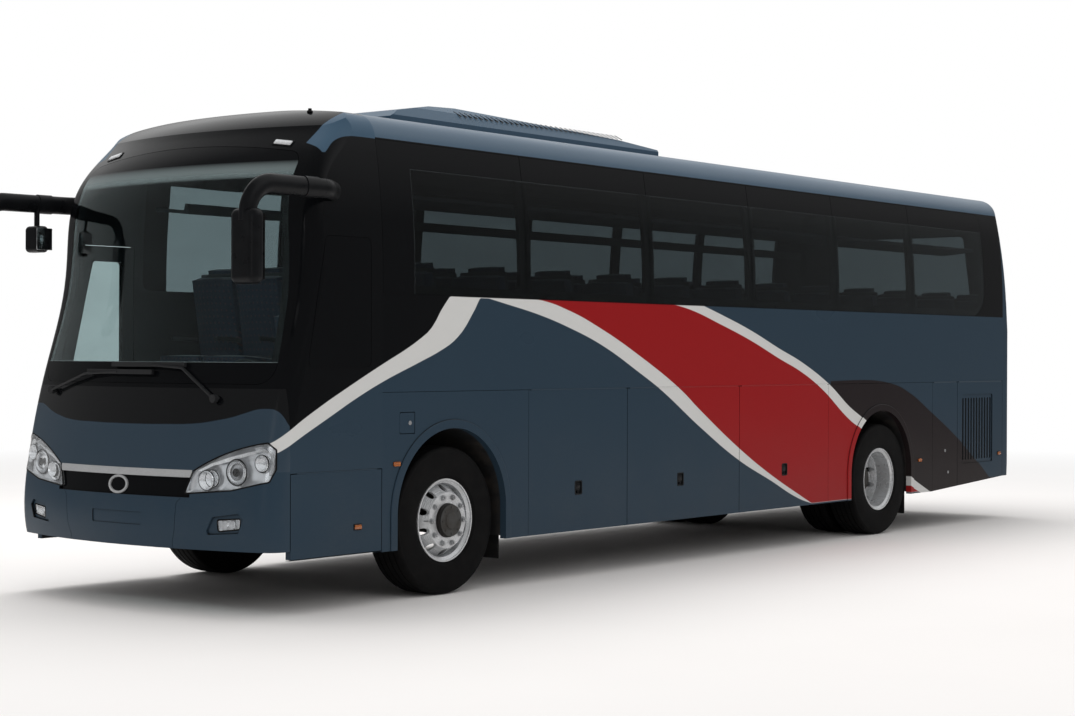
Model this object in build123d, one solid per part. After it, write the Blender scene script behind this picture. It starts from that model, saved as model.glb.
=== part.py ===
"""An eleven-metre touring coach: hollow body in real panels, glass, doors, axles and cabin.

Frame: X forward, Y to the driver's (left) side, Z up, with Z = 0 on the road. The origin is under
the middle of the overall length, mirrors included. All sizes are in millimetres.
"""

import os
from math import atan2, cos, radians, sin, sqrt

from build123d import *

# ---------------------------------------------------------------- driving dimensions: whole coach
wheelbase = 6270
front_overhang = 1952  # front axle to the bumper's foremost point
rear_overhang = 2800  # rear axle to the tail
mirror_reach = 150  # the mirrors stand this far ahead of the bumper
body_half_width = 1265
roof_z = 3378  # top of the roof crown on the centre line
skirt_z = 355  # lower edge of the side skirts
tail_rise = 95  # the skirt's lower edge climbs this much to the tail
wall = 45  # body walls, doors and flaps are all this thick
glass = 6
seam = 6  # gap round every door and flap
fit = 0.3  # seat clearance of bonded glass and trim

# ---------------------------------------------------------------- body section and levels
belt_z = 1430  # top of the luggage doors
sill_z = 2100  # lower edge of the side glass
lean_z = 2200  # above this the sides curve inwards
lean_radius = 5680
cove_z = roof_z - 228  # joint between side wall and roof panel
lean_rise = cove_z - lean_z
lean_foot_in = lean_radius - sqrt(lean_radius**2 - lean_rise**2)
lean_middle_in = lean_radius - sqrt(lean_radius**2 - (lean_rise / 2) ** 2)
cove_foot = (body_half_width - lean_foot_in, cove_z)
lean_middle = (body_half_width - lean_middle_in, (lean_z + cove_z) / 2)
cove_middle = (cove_foot[0] - 54, cove_z + 115)
cove_head = (cove_foot[0] - 172, cove_z + 168)
glass_top_z = cove_z - 12
floor_z = 1230  # top of the saloon floor
floor_thickness = 50
bay_floor_z = 430
bay_floor_thickness = 40
driver_floor_z = 880
step_z = 420
frame_z = 620  # lower edge of the front and rear frame rails

# ---------------------------------------------------------------- wheels, steering, axles
tyre_radius = 522
tyre_width = 292
rim_radius = 292
wheel_plane_y = body_half_width - 191  # middle of each front tyre
kingpin_y = wheel_plane_y - 89
rear_outer_y = body_half_width - 173  # middle of each outer rear tyre
arch_radius = tyre_radius + 63
arch_top_z = 2 * tyre_radius + 126
flare_width = 62
flare_proud = 10
flare_round = 8

# ---------------------------------------------------------------- stations along the body
front_axle_x = (rear_overhang + wheelbase - front_overhang - mirror_reach) / 2
rear_axle_x = front_axle_x - wheelbase
tail_x = rear_axle_x - rear_overhang
nose_seam_x = front_axle_x + 720  # rear edge of the moulded front end
corner_seam_x = front_axle_x + 1590  # side edge of the bumper and front panel
tail_seam_x = tail_x + 210
front_arch_x = front_axle_x - 10
rear_arch_x = rear_axle_x + 30
front_bulkhead_x = front_axle_x - 865
rear_bulkhead_x = rear_axle_x + 1024
front_turn_centre_x = front_axle_x + front_overhang - 4000  # the front face is round this upright axis


# ================================================================ shape helpers
def block(x0, x1, y0, y1, z0, z1):
    """A box between two corners."""
    size = (x1 - x0, y1 - y0, z1 - z0)
    return Pos((x0 + x1) / 2, (y0 + y1) / 2, (z0 + z1) / 2) * Box(*size)


def side_prism(points, y0, y1, radius=0):
    """A polygon of (x, z) points, with rounded corners, extruded from y0 to y1."""
    outline = make_face(Polyline(*points, close=True))
    if radius:
        outline = fillet(outline.vertices(), radius)
    return extrude(Plane.XZ.offset(-y1) * outline, y1 - y0)


def front_prism(points, x0, x1, radius=0):
    """A polygon of (y, z) points, with rounded corners, extruded from x0 to x1."""
    outline = make_face(Polyline(*points, close=True))
    if radius:
        outline = fillet(outline.vertices(), radius)
    return extrude(Plane.YZ.offset(x0) * outline, x1 - x0)


def rectangle(x0, x1, z0, z1):
    """The four corners of a rectangle in a side or front view."""
    return [(x0, z0), (x1, z0), (x1, z1), (x0, z1)]


def bar_y(x, z, radius, y0, y1):
    """A round bar across the coach."""
    return extrude(Plane.XZ.offset(-y1) * Pos(x, z) * Circle(radius), y1 - y0)


def bar_z(x, y, radius, z0, z1):
    """An upright round bar."""
    return Pos(x, y, (z0 + z1) / 2) * Cylinder(radius, z1 - z0)


def both_sides(shape):
    """A shape and its mirror image across the centre line, as two solids."""
    return Compound(children=[*shape.solids(), *mirror(shape, Plane.XZ).solids()])


def on_side(shape, side):
    """The shape as built for the left (+1), or mirrored for the right (-1)."""
    return shape if side > 0 else mirror(shape, Plane.XZ)


# ================================================================ outer form of the body
def body_section(inset=0.0):
    """The body's cross-section: upright sides that curve in above the sill, coves, and a crown."""
    side = Line((body_half_width, -200), (body_half_width, lean_z))
    lean = ThreePointArc((body_half_width, lean_z), lean_middle, cove_foot)
    cove = ThreePointArc(cove_foot, cove_middle, cove_head)
    crown = ThreePointArc(cove_head, (0, roof_z), (-cove_head[0], cove_head[1]))
    base = Line((-body_half_width, -200), (body_half_width, -200))
    half = [side, lean, cove]
    outline = [*half, crown, *[mirror(piece, Plane.YZ) for piece in half], base]
    face = make_face([edge for piece in outline for edge in piece.edges()])
    return offset(face, -inset) if inset else face


def side_half_width(z):
    """Half the body's width at a level below the coves."""
    rise = max(z - lean_z, 0)
    return body_half_width - (lean_radius - sqrt(lean_radius**2 - rise**2))


def plan_section(z, reach, radius, inset=0.0):
    """Plan of the front end at one level: a wide front arc with tangent corner arcs.

    reach is the front's distance ahead of the front axle, radius that of the corners.
    """
    half = side_half_width(min(z, cove_z)) - inset
    corner = radius - inset
    front = front_axle_x + reach - front_turn_centre_x - inset
    corner_y = half - corner
    corner_x = sqrt((front - corner) ** 2 - corner_y**2)
    share = front / (front - corner)
    flat_end = (corner_x, half)
    arc_end = (corner_x * share, corner_y * share)
    turn = atan2(corner_y, corner_x)
    middle_angle = (turn + radians(90)) / 2
    arc_middle = (corner_x + corner * cos(middle_angle), corner_y + corner * sin(middle_angle))
    back = front_axle_x + (0 if inset else 720) - front_turn_centre_x
    left = [Line((back, half), flat_end), ThreePointArc(flat_end, arc_middle, arc_end)]
    face = ThreePointArc(arc_end, (front, 0), (arc_end[0], -arc_end[1]))
    right = [mirror(piece, Plane.XZ) for piece in left]
    rear = Line((back, -half), (back, half))
    edges = [edge for piece in [*left, face, *right, rear] for edge in piece.edges()]
    return Pos(front_turn_centre_x, 0, z) * make_face(edges)


# level, reach ahead of the front axle, corner radius
nose_levels = [
    (-200, 1890, 150),
    (420, 1930, 150),
    (660, front_overhang, 150),
    (905, 1926, 150),
    (1270, 1856, 150),
    (1640, 1757, 150),
    (2360, 1602, 150),
    (roof_z - 328, 1385, 170),
    (roof_z + 42, 1250, 300),
]
dome_foot = (front_axle_x + 1385, roof_z - 328)
dome_middle = (front_axle_x + 1165, roof_z - 118)
dome_head = (front_axle_x + 750, roof_z)


def nose_form(inset=0.0):
    """The solid front end, drawn in by an inset: lofted plans, cut by the section and the dome."""
    plans = [plan_section(z, reach, radius, inset) for z, reach, radius in nose_levels]
    lofted = loft(plans)
    length = front_overhang + 200
    start = front_axle_x if inset else nose_seam_x
    section = extrude(Plane.YZ.offset(start) * body_section(inset), length)
    outline = [
        Line((front_turn_centre_x, -400), (dome_foot[0] + 1200, -400)),
        Line((dome_foot[0] + 1200, -400), (dome_foot[0] + 1200, dome_foot[1] - 500)),
        Line((dome_foot[0] + 1200, dome_foot[1] - 500), dome_foot),
        ThreePointArc(dome_foot, dome_middle, dome_head),
        Line(dome_head, (front_turn_centre_x, roof_z + 50)),
        Line((front_turn_centre_x, roof_z + 50), (front_turn_centre_x, -400)),
    ]
    profile = make_face([edge for piece in outline for edge in piece.edges()])
    if inset:
        profile = offset(profile, -inset)
    dome = revolve(Plane.XZ * profile, Axis((front_turn_centre_x, 0, 0), (0, 0, 1)))
    return lofted & section & dome


tail_radius = 120


def tail_form(inset=0.0):
    """The solid body from the tail to the front end's seam, drawn in by an inset."""
    end = nose_seam_x + (100 if inset else 0)
    straight = extrude(Plane.YZ.offset(tail_x - 50) * body_section(inset), end - tail_x + 50)
    x = tail_x + inset
    lean = 170
    high = roof_z + 122
    profile = [(x + 60, -300), (x, 560), (x, 1950), (x + lean, high), (end + 10, high), (end + 10, -300)]
    body = straight & side_prism(profile, -body_half_width - 50, body_half_width + 50)
    rear_edges = [e for e in body.edges() if e.center().X < tail_x + 400 and (e @ 0).Z > 100 or (
        e.center().X < tail_x + 400 and (e @ 1).Z > 100)]
    rim = [e for e in rear_edges if abs((e @ 0).Y) > 5 and max((e @ 0).X, (e @ 1).X) < tail_x + 400]
    rim = [e for e in rim if abs((e @ 0).Z - (e @ 1).Z) > 30 or (e @ 0).Z > 2500]
    return fillet(rim, tail_radius - inset)


nose_outer = nose_form()
nose_glazing = nose_form(glass + fit)
nose_inner = nose_form(wall)
body_outer = tail_form()
body_glazing = tail_form(glass + fit)
body_inner = tail_form(wall)
nose_recessed = nose_form(16)
nose_glass_inner = nose_form(glass)
tail_glass_inner = tail_form(glass)
nose_shell = nose_outer - nose_inner
body_shell = body_outer - body_inner


# ================================================================ openings shared by wall and leaf
def arch_prism(x, grow, y0, y1):
    """The wheel arch's shape, straight at the sides and round on top, grown all round."""
    radius = arch_radius + grow
    centre_z = arch_top_z - arch_radius
    outline = Pos(x, centre_z) * Circle(radius) + Pos(x, centre_z / 2 - 100) * Rectangle(
        2 * radius, centre_z + 200)
    return extrude(Plane.XZ.offset(-y1) * outline, y1 - y0)


def skirt_line(x):
    """Height of the skirt's lower edge, which climbs behind the rear axle."""
    start = rear_axle_x - 1000
    return skirt_z + tail_rise * max(start - x, 0) / (start - tail_x)


# name, front and rear edge ahead of the front axle or rear axle, for the top-hinged side flaps
bay_flaps = [
    ("luggage_door_1", front_axle_x - 865, front_axle_x - 2115),
    ("luggage_door_2", front_axle_x - 2115, front_axle_x - 3747),
    ("luggage_door_3", front_axle_x - 3747, rear_bulkhead_x),
    ("battery_door", rear_axle_x - 1011, rear_axle_x - 1554),
    ("radiator_door", rear_axle_x - 1554, tail_seam_x),
]


def flap_outline(x_front, x_rear, gap):
    """Side view of a flap: the seam's rectangle, drawn in by half a gap each side, down to the skirt."""
    front, rear = x_front - gap / 2, x_rear + gap / 2
    return [(rear, skirt_line(rear)), (front, skirt_line(front)), (front, belt_z - gap), (rear, belt_z - gap)]


# side glass: dividers behind the front axle, the last one a raked and rounded rear edge
glass_dividers = [nose_seam_x] + [front_axle_x - d for d in (835, 2424, 3947, 5383, 6854)]
glass_end_x = tail_x + 640
pane_gap = 5
frit = 55  # black border where the wall carries the glass

door_rear_x = front_axle_x + 752
door_front_x = front_axle_x + 1500
door_bend_z = 1300
door_top_z = 2470
door_top_front_x = front_axle_x + 1205
door_outline = [
    (door_rear_x, 372), (door_front_x, 372), (door_front_x, door_bend_z),
    (door_top_front_x, door_top_z), (door_rear_x, door_top_z),
]
door_glass_outline = [
    (door_rear_x + 70, 1090), (door_front_x - 75, 1090), (door_front_x - 75, door_bend_z + 10),
    (door_top_front_x - 45, door_top_z - 75), (door_rear_x + 70, door_top_z - 75),
]
driver_window_outline = [
    (front_axle_x + 835, 1600), (front_axle_x + 1432, 1600), (front_axle_x + 1262, 2460),
    (front_axle_x + 835, 2460),
]
door_post = (front_axle_x + 1440, -(body_half_width - 110))  # the axis that the door's arms turn on
door_post_radius = 20
arm_reach = 500
driver_flap_top_z = 913
driver_flap_outline = rectangle(nose_seam_x + 8, corner_seam_x - 6, skirt_z + 12, driver_flap_top_z)
driver_bead = (nose_seam_x + 60, corner_seam_x - 60, driver_flap_top_z)
windscreen_low_z = 1490
windscreen_top_z = (roof_z - 366, roof_z - 286)  # at its upper corners and on the centre line
windscreen_half_widths = (body_half_width - 115, body_half_width - 220)  # at its lower and upper corners
fuel_flap_outline = rectangle(front_axle_x + 396, front_axle_x + 540, 1147, 1287)
fuel_flap_thickness = 14
fuel_hinge_offset = 4  # the hinge's axis lies this far ahead of the flap's front edge
fuel_pan_depth = 30
fuel_cap_radius = 36
fuel_cap_height = 10
panel_low_z = 932  # joint between bumper and front panel
panel_high_z = windscreen_low_z - 30


def grown(points, amount):
    """A convex outline moved outwards (or inwards) all round, as an outline face."""
    return offset(make_face(Polyline(*points, close=True)), amount, kind=Kind.INTERSECTION)


def grown_side_prism(points, amount, y0, y1, radius=0):
    """A side prism whose outline is first grown by an amount."""
    face = grown(points, amount)
    if radius:
        face = fillet(face.vertices(), radius)
    return extrude(Plane.XZ.offset(-y1) * face, y1 - y0)


def grown_front_prism(points, amount, x0, x1, radius=0):
    """A front prism whose outline is first grown by an amount."""
    face = grown(points, amount)
    if radius:
        face = fillet(face.vertices(), radius)
    return extrude(Plane.YZ.offset(x0) * face, x1 - x0)


def windscreen_prism(amount, radius):
    """The windscreen's outline with its bowed upper edge, grown by an amount, from the cab forwards."""
    low_half, top_half = windscreen_half_widths
    corner_z, middle_z = windscreen_top_z
    low_left, low_right = (-low_half, windscreen_low_z), (low_half, windscreen_low_z)
    top_left, top_right = (-top_half, corner_z), (top_half, corner_z)
    upper = ThreePointArc(top_right, (0, middle_z), top_left)
    edges = [Line(low_left, low_right), Line(low_right, top_right), *upper.edges(), Line(top_left, low_left)]
    face = make_face(edges)
    if amount:
        face = offset(face, amount, kind=Kind.INTERSECTION)
    face = fillet(face.vertices(), radius)
    return extrude(Plane.YZ.offset(front_axle_x + 600) * face, far - 600)


far = 2000  # beyond the body on any side

# A top-hinged flap ends in a round bead that turns in a groove of the panel above it.
bead_radius = 5
bead_clearance = 0.5
bead_depth = 2  # the bead's axis lies this far inside the outer surface
bead_rise = seam / 2  # and this far above the flap's top edge
bead_end = 30  # the bead stops this short of the flap's seams


def side_bead(x0, x1, top_z, extra=0.0):
    """A bead (or, with some extra, its groove) along the top edge of a flap in the left side."""
    place = Plane(origin=(x0 - extra, body_half_width - bead_depth, top_z + bead_rise), z_dir=(1, 0, 0))
    return extrude(place * Circle(bead_radius + extra), x1 - x0 + 2 * extra)


# ================================================================ side walls and side glass
def pane_outlines():
    """Side view of each pane of the side band, front to rear."""
    edges = [*glass_dividers, glass_end_x]
    panes = []
    for front, rear in zip(edges, edges[1:]):
        panes.append(rectangle(rear + pane_gap / 2, front - pane_gap / 2, sill_z, glass_top_z))
    return panes


def pane_prism(points, index, amount, y0, y1):
    """A pane's prism, grown by an amount; the last pane has big rounds at its rear corners."""
    face = grown(points, amount)
    if index == len(glass_dividers) - 1:
        face = fillet(min(face.vertices(), key=lambda v: v.X + v.Y), 260 + amount)
        face = fillet(min(face.vertices(), key=lambda v: v.X - v.Y), 110 + amount)
    elif amount < 0:
        face = fillet(face.vertices(), 60)
    return extrude(Plane.XZ.offset(-y1) * face, y1 - y0)


belt_seam = 3


def side_wall(side):
    """One side of the body: the window band, and the arch panels that a seam at the belt parts from it."""
    reach = block(tail_seam_x, nose_seam_x, 0, far, skirt_z, cove_z)
    panel = body_shell & reach
    for x in (front_arch_x, rear_arch_x):
        flare = arch_prism(x, flare_width, body_half_width - 1, body_half_width + flare_proud)
        flare = fillet(flare.faces().sort_by(Axis.Y)[-1].edges(), flare_round)
        panel += flare & reach
        panel -= arch_prism(x, 0, 500, far)
    for _, front, rear in bay_flaps:
        panel -= side_prism(rectangle(rear, front, 0, belt_z), 500, far)
        panel -= side_bead(rear + bead_end, front - bead_end, belt_z - seam, bead_clearance)
    for index, outline in enumerate(pane_outlines()):
        panel -= pane_prism(outline, index, pane_gap / 2 + 0.01, 500, far) - body_glazing
        panel -= pane_prism(outline, index, -frit, 500, far)
    panel -= block(tail_x, nose_seam_x + 10, 500, far, belt_z - belt_seam, belt_z)
    if side > 0:
        panel -= grown_side_prism(fuel_flap_outline, 5, body_half_width - fuel_pan_depth, far)
        panel -= fuel_bead(bead_clearance)
        (x0, z0), (x1, _), (_, z1), _ = fuel_flap_outline
        base = body_half_width - fuel_pan_depth
        panel += bar_y((x0 + x1) / 2, (z0 + z1) / 2, fuel_cap_radius, base - 1, base + fuel_cap_height)
    return on_side(panel, side)


def glass_skin(prism, outer, inner):
    """The outermost layer of a form, as thick as glass, inside a prism."""
    return (prism - inner) & outer


def side_windows():
    """Every bonded pane of both sides, and the driver's window."""
    panes = []
    for index, outline in enumerate(pane_outlines()):
        panes += glass_skin(pane_prism(outline, index, 0, 500, far), body_outer, tail_glass_inner).solids()
    both = Compound(children=panes)
    driver_prism = grown_side_prism(driver_window_outline, 0, 500, far, 40)
    driver = glass_skin(driver_prism, nose_outer, nose_glass_inner)
    return Compound(children=[*panes, *mirror(both, Plane.XZ).solids(), *driver.solids()])


handle_pocket = (96, 108)
handle_pocket_depth = 24
handle_places = {  # distance behind the front axle, height
    "luggage_door_1": (1480, 680),
    "luggage_door_2": (2860, 680),
    "luggage_door_3": (4485, 690),
}
louvre_slots = 11
louvre_pitch = 62
louvre_slot = (30, 630)  # width and height of one slot
louvre_middle = (rear_axle_x - 2005, 950)
louvre_recess = 9


def handle_cut(name):
    """The pocket that a flap's latch handle sits in."""
    behind, z = handle_places[name]
    x = front_axle_x - behind
    width, height = handle_pocket
    outline = rectangle(x - width / 2, x + width / 2, z - height / 2, z + height / 2)
    return side_prism(outline, body_half_width - handle_pocket_depth, far, 16)


def louvre_cut():
    """The radiator grille's sunk field with its row of upright slots."""
    x, z = louvre_middle
    width, height = louvre_slot
    field = (louvre_slots * louvre_pitch + 12) / 2
    tall = height / 2 + 34
    outline = rectangle(x - field, x + field, z - tall, z + tall)
    cut = side_prism(outline, body_half_width - louvre_recess, far, 20)
    for index in range(louvre_slots):
        middle = x + (index - (louvre_slots - 1) / 2) * louvre_pitch
        slot = rectangle(middle - width / 2, middle + width / 2, z - height / 2, z + height / 2)
        cut += side_prism(slot, body_half_width - wall - 20, body_half_width, 14)
    return cut


def bay_flap(name, front, rear, side):
    """A top-hinged flap in the skirt, as thick as the wall, with its handle pocket or louvre."""
    leaf = body_shell & side_prism(flap_outline(front, rear, seam), 500, far)
    leaf += side_bead(rear + bead_end, front - bead_end, belt_z - seam)
    if name in handle_places:
        leaf -= handle_cut(name)
    if name == "radiator_door":
        leaf -= louvre_cut()
    return on_side(leaf, side)


# ================================================================ front end
def front_shell():
    """The moulded front end: pillars, header dome, side panels, with all its openings."""
    shell = nose_shell & block(nose_seam_x, front_axle_x + far, -far, far, skirt_z + 5, roof_z + 100)
    shell -= windscreen_prism(3, 120) - nose_glazing
    shell -= windscreen_prism(-45, 90)
    shell -= block(corner_seam_x, front_axle_x + far, -far, far, 0, panel_high_z)
    shell -= grown_side_prism(door_outline, seam, -far, -500)
    shell -= grown_side_prism(driver_window_outline, 3, 500, far, 43) - nose_glazing
    shell -= grown_side_prism(driver_window_outline, -40, 500, far, 30)
    shell -= grown_side_prism(driver_flap_outline, seam, 500, far)
    shell -= side_bead(*driver_bead, bead_clearance)
    return shell


def windscreen():
    """The one-piece bonded windscreen."""
    return glass_skin(windscreen_prism(0, 117), nose_outer, nose_glass_inner)


def front_panel():
    """The panel between the windscreen and the bumper, bored for the wiper spindles."""
    panel = nose_shell & block(corner_seam_x, front_axle_x + far, -far, far, panel_low_z, panel_high_z)
    for pivot, *_ in wiper_layout:
        bore = Plane(origin=(front_axle_x + 1500, *pivot), z_dir=(1, 0, 0)) * Circle(wiper_spindle + fit)
        panel -= extrude(bore, 600)
    return lamp_openings(panel)


bumper_bottom_z = 420
grille_half_width = body_half_width - 612
grille_low_z = 755
bright_bar_z = 884  # the bright bar fills the grille's opening from here up
badge_ring = (93, 62, 15)  # half width, half height and section of the plain oval ring
bumper_seam_line = [(506, 300), (506, 455), (534, 541), (543, 639), (549, 717), (587, 760)]  # y, z
bumper_seam = 3
plate_recess = (240, 561, 646)  # half width, lower and upper edge of the number plate's flat


def front_bumper():
    """The bumper in three mouldings, with the openings of grille and lamps and the plate's flat."""
    band = nose_shell & block(corner_seam_x, front_axle_x + far, -far, far, bumper_bottom_z, panel_low_z)
    band -= block(front_axle_x, front_axle_x + far, -grille_half_width, grille_half_width, grille_low_z, 1000)
    reach = (front_axle_x + 1500, front_axle_x + far)
    half, low, high = plate_recess
    band -= front_prism(rectangle(-half, half, low, high), *reach, 8) - nose_glazing
    fog_dip = front_prism(fog_recess_outline, *reach, 12)
    for dip in (fog_dip, mirror(fog_dip, Plane.XZ)):
        band -= dip - nose_recessed
    line = [(y - bumper_seam / 2, z) for y, z in bumper_seam_line]
    line += [(y + bumper_seam / 2, z) for y, z in reversed(bumper_seam_line)]
    cut = front_prism(line, *reach)
    band -= cut
    band -= mirror(cut, Plane.XZ)
    return lamp_openings(band)


def grille():
    """The sunk black grille panel, the bright bar above it and a plain oval ring on it."""
    x0, x1 = front_axle_x + 1500, front_axle_x + far
    half = grille_half_width - fit
    panel = block(x0, x1, -half, half, grille_low_z + fit, bright_bar_z)
    panel = lamp_openings((panel - nose_inner) & nose_recessed)
    bar = block(x0, x1, -half, half, bright_bar_z, panel_low_z - fit) - nose_inner
    bar = lamp_openings(bar & nose_outer)
    half_width, half_height, section = badge_ring
    middle_z = (grille_low_z + bright_bar_z) / 2
    outer = Ellipse(half_width, half_height)
    hole = Ellipse(half_width - section, half_height - section)
    ring_prism = extrude(Plane.YZ.offset(x0) * Pos(0, middle_z) * (outer - hole), x1 - x0)
    badge = (ring_prism - nose_recessed) & nose_glazing
    return Compound(children=[*panel.solids(), *bar.solids(), *badge.solids()])


def driver_flap():
    """The top-hinged flap below the driver's window."""
    return (nose_shell & side_prism(driver_flap_outline, 500, far)) + side_bead(*driver_bead)


def passenger_door():
    """The outward-swinging door's leaf, with its window opening and hinge brackets."""
    leaf = nose_shell & side_prism(door_outline, -far, -500)
    leaf -= grown_side_prism(door_glass_outline, 3, -far, -500, 43) - nose_glazing
    leaf -= grown_side_prism(door_glass_outline, -35, -far, -500, 30)
    return leaf + door_brackets()


def door_glass():
    """The bonded pane of the passenger door."""
    prism = grown_side_prism(door_glass_outline, 0, -far, -500, 40)
    return glass_skin(prism, nose_outer, nose_glass_inner)


# ================================================================ roof and tail
hatch_corner = 12  # radius at the hatchway's corners


def roof_panel():
    """The roof with both coves, in four welded pieces: behind its hatchway, two beside it and one ahead."""
    panel = body_shell & block(tail_x - 10, nose_seam_x, -far, far, cove_z, roof_z + 100)
    x0, x1 = hatch_x[0] + hatch_lap, hatch_x[1] - hatch_lap
    half = hatch_half_width - hatch_lap
    hatchway = block(x0, x1, -half, half, cove_z, roof_z + 100)
    panel -= fillet(hatchway.edges().filter_by(Axis.Z), hatch_corner)
    lug = hatch_lug()
    behind = panel & block(tail_x - 10, x0 + hatch_corner, -far, far, cove_z, roof_z + 100)
    beside = panel & block(x0 + hatch_corner, x1 - hatch_corner, half - 1, far, cove_z, roof_z + 100)
    ahead = panel & block(x1 - hatch_corner, nose_seam_x, -far, far, cove_z, roof_z + 100)
    ahead = ahead + lug + mirror(lug, Plane.XZ)
    strips = [*beside.solids(), *mirror(beside, Plane.XZ).solids()]
    return Compound(children=[*behind.solids(), *strips, *ahead.solids()])


rear_window_halves = (body_half_width - 385, body_half_width - 445)  # at its lower and upper edges
rear_window_outline = [
    (-rear_window_halves[0], 2210), (rear_window_halves[0], 2210),
    (rear_window_halves[1], cove_z - 150), (-rear_window_halves[1], cove_z - 150),
]
engine_door_outline = rectangle(465 - body_half_width, body_half_width - 465, 700, 1900)
vent_rows = 8
vent_pitch = 58
vent_low_z = 930
vent_slot = (70, 560, 24)  # inner and outer end, and height, of each slot either side of the centre
rear_bumper_top_z = 640


def engine_bead(extra=0.0):
    """The bead (or, with some extra, its groove) along the engine door's top edge."""
    half = engine_door_outline[1][0] - bead_end
    top_z = engine_door_outline[2][1]
    return bar_y(tail_x + bead_depth, top_z + bead_rise, bead_radius + extra, -half - extra, half + extra)


def rear_wall():
    """The tail panel with its rounded corners, window rebate and engine opening."""
    panel = body_shell & block(tail_x - 10, tail_seam_x, -far, far, rear_bumper_top_z, cove_z)
    panel -= grown_front_prism(rear_window_outline, 3, tail_x - 100, tail_x + 900, 93) - body_glazing
    panel -= grown_front_prism(rear_window_outline, -45, tail_x - 100, tail_x + 900, 60)
    panel -= grown_front_prism(engine_door_outline, seam, tail_x - 100, tail_x + 900)
    panel -= engine_bead(bead_clearance)
    y0, y1, z0, z1 = tail_lamp_span
    lamp = block(tail_x - 20, tail_x + 60, y0, y1, z0, z1)
    return panel - lamp - mirror(lamp, Plane.XZ)


def rear_window():
    """The bonded rear window."""
    prism = grown_front_prism(rear_window_outline, 0, tail_x - 100, tail_x + 900, 90)
    return glass_skin(prism, body_outer, tail_glass_inner)


def engine_door():
    """The top-hinged engine door in the tail, with two banks of cooling slots."""
    leaf = (body_shell & front_prism(engine_door_outline, tail_x - 100, tail_x + 900)) + engine_bead()
    y0, y1, height = vent_slot
    for row in range(vent_rows):
        z = vent_low_z + row * vent_pitch
        slot = front_prism(rectangle(y0, y1, z, z + height), tail_x - 100, tail_x + 200, height / 2 - 1)
        leaf -= slot
        leaf -= mirror(slot, Plane.XZ)
    return leaf


def rear_bumper():
    """The rear bumper moulding."""
    low = skirt_line(tail_seam_x)
    return body_shell & block(tail_x - 10, tail_seam_x, -far, far, low, rear_bumper_top_z)


# ================================================================ lamps, mirrors, wipers
lamp_start_x = corner_seam_x + 30  # the front lamps' openings begin here
headlamp_inboard = [(84, 1118), (37, 1075), (27, 950), (50, 868), (299, 809), (659, 778), (604, 927)]
headlamp_outline = [(body_half_width - inboard, z) for inboard, z in headlamp_inboard]
headlamp_brow = (body_half_width - 354, 1049)  # the upper edge bows through here, from the last corner
fog_lamp_inboard = [(400, 543), (405, 620), (230, 633), (238, 563)]
fog_lamp_outline = [(body_half_width - inboard, z) for inboard, z in fog_lamp_inboard]
fog_recess_inboard = [(476, 547), (428, 638), (238, 665), (201, 628), (239, 537), (470, 521)]
fog_recess_outline = [(body_half_width - inboard, z) for inboard, z in fog_recess_inboard]


def lamp_prism(face, amount, radius):
    """A lamp's outline, drawn in by an amount and rounded at its corners, from the corner seam forwards."""
    if amount:
        face = offset(face, -amount, kind=Kind.INTERSECTION)
    face = fillet(face.vertices(), radius)
    return extrude(Plane.YZ.offset(lamp_start_x) * face, front_axle_x + far - lamp_start_x)


def headlamp_face():
    """The left headlamp's outline."""
    start, end = headlamp_outline[0], headlamp_outline[-1]
    brow = ThreePointArc(end, headlamp_brow, start)
    return make_face([*Polyline(*headlamp_outline).edges(), *brow.edges()])


def fog_lamp_face():
    """The left fog lamp's outline."""
    return make_face(Polyline(*fog_lamp_outline, close=True))


def front_lamps():
    """Both headlamps, flush in the front end, and both fog lamps, flush in their recesses."""
    head = (lamp_prism(headlamp_face(), fit, 14) - nose_inner) & nose_outer
    fog = (lamp_prism(fog_lamp_face(), fit, 14) - nose_inner) & nose_recessed
    return both_sides(Compound(children=[*head.solids(), *fog.solids()]))


def lamp_openings(shape):
    """A front panel with the openings of all four front lamps cut through."""
    for face in (headlamp_face(), fog_lamp_face()):
        opening = lamp_prism(face, 0, 14)
        shape -= opening
        shape -= mirror(opening, Plane.XZ)
    return shape


tail_lamp_span = (body_half_width - 190, body_half_width - 50, 820, 1480)  # y and z ranges


def rear_lamps():
    """The upright tail lamps at both corners."""
    y0, y1, z0, z1 = tail_lamp_span
    lens = block(tail_x - 20, tail_x + 60, y0 + fit, y1 - fit, z0 + fit, z1 - fit)
    return both_sides((lens - body_inner) & body_outer)


mirror_root = (front_axle_x + 1150, body_half_width - 40, 2752)
mirror_arm = (44, 64)  # half width across and half height of the arm's oval section
mirror_head = (112, 225, 470)
mirror_head_x = front_axle_x + front_overhang + mirror_reach - mirror_head[0] / 2
mirror_head_place = (mirror_head_x, body_half_width + 76, 2352)
kerb_mirror = (100, 170, 190)
kerb_mirror_place = (front_axle_x + 1560, -(body_half_width + 62), 2500)


def mirror_arm_solid(path, extra=0.0):
    """An oval bar along a path."""
    across, tall = mirror_arm
    start = Plane(path @ 0, x_dir=(0, 0, 1), z_dir=path % 0)
    return sweep(start * Ellipse(tall + extra, across + extra), path)


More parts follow.
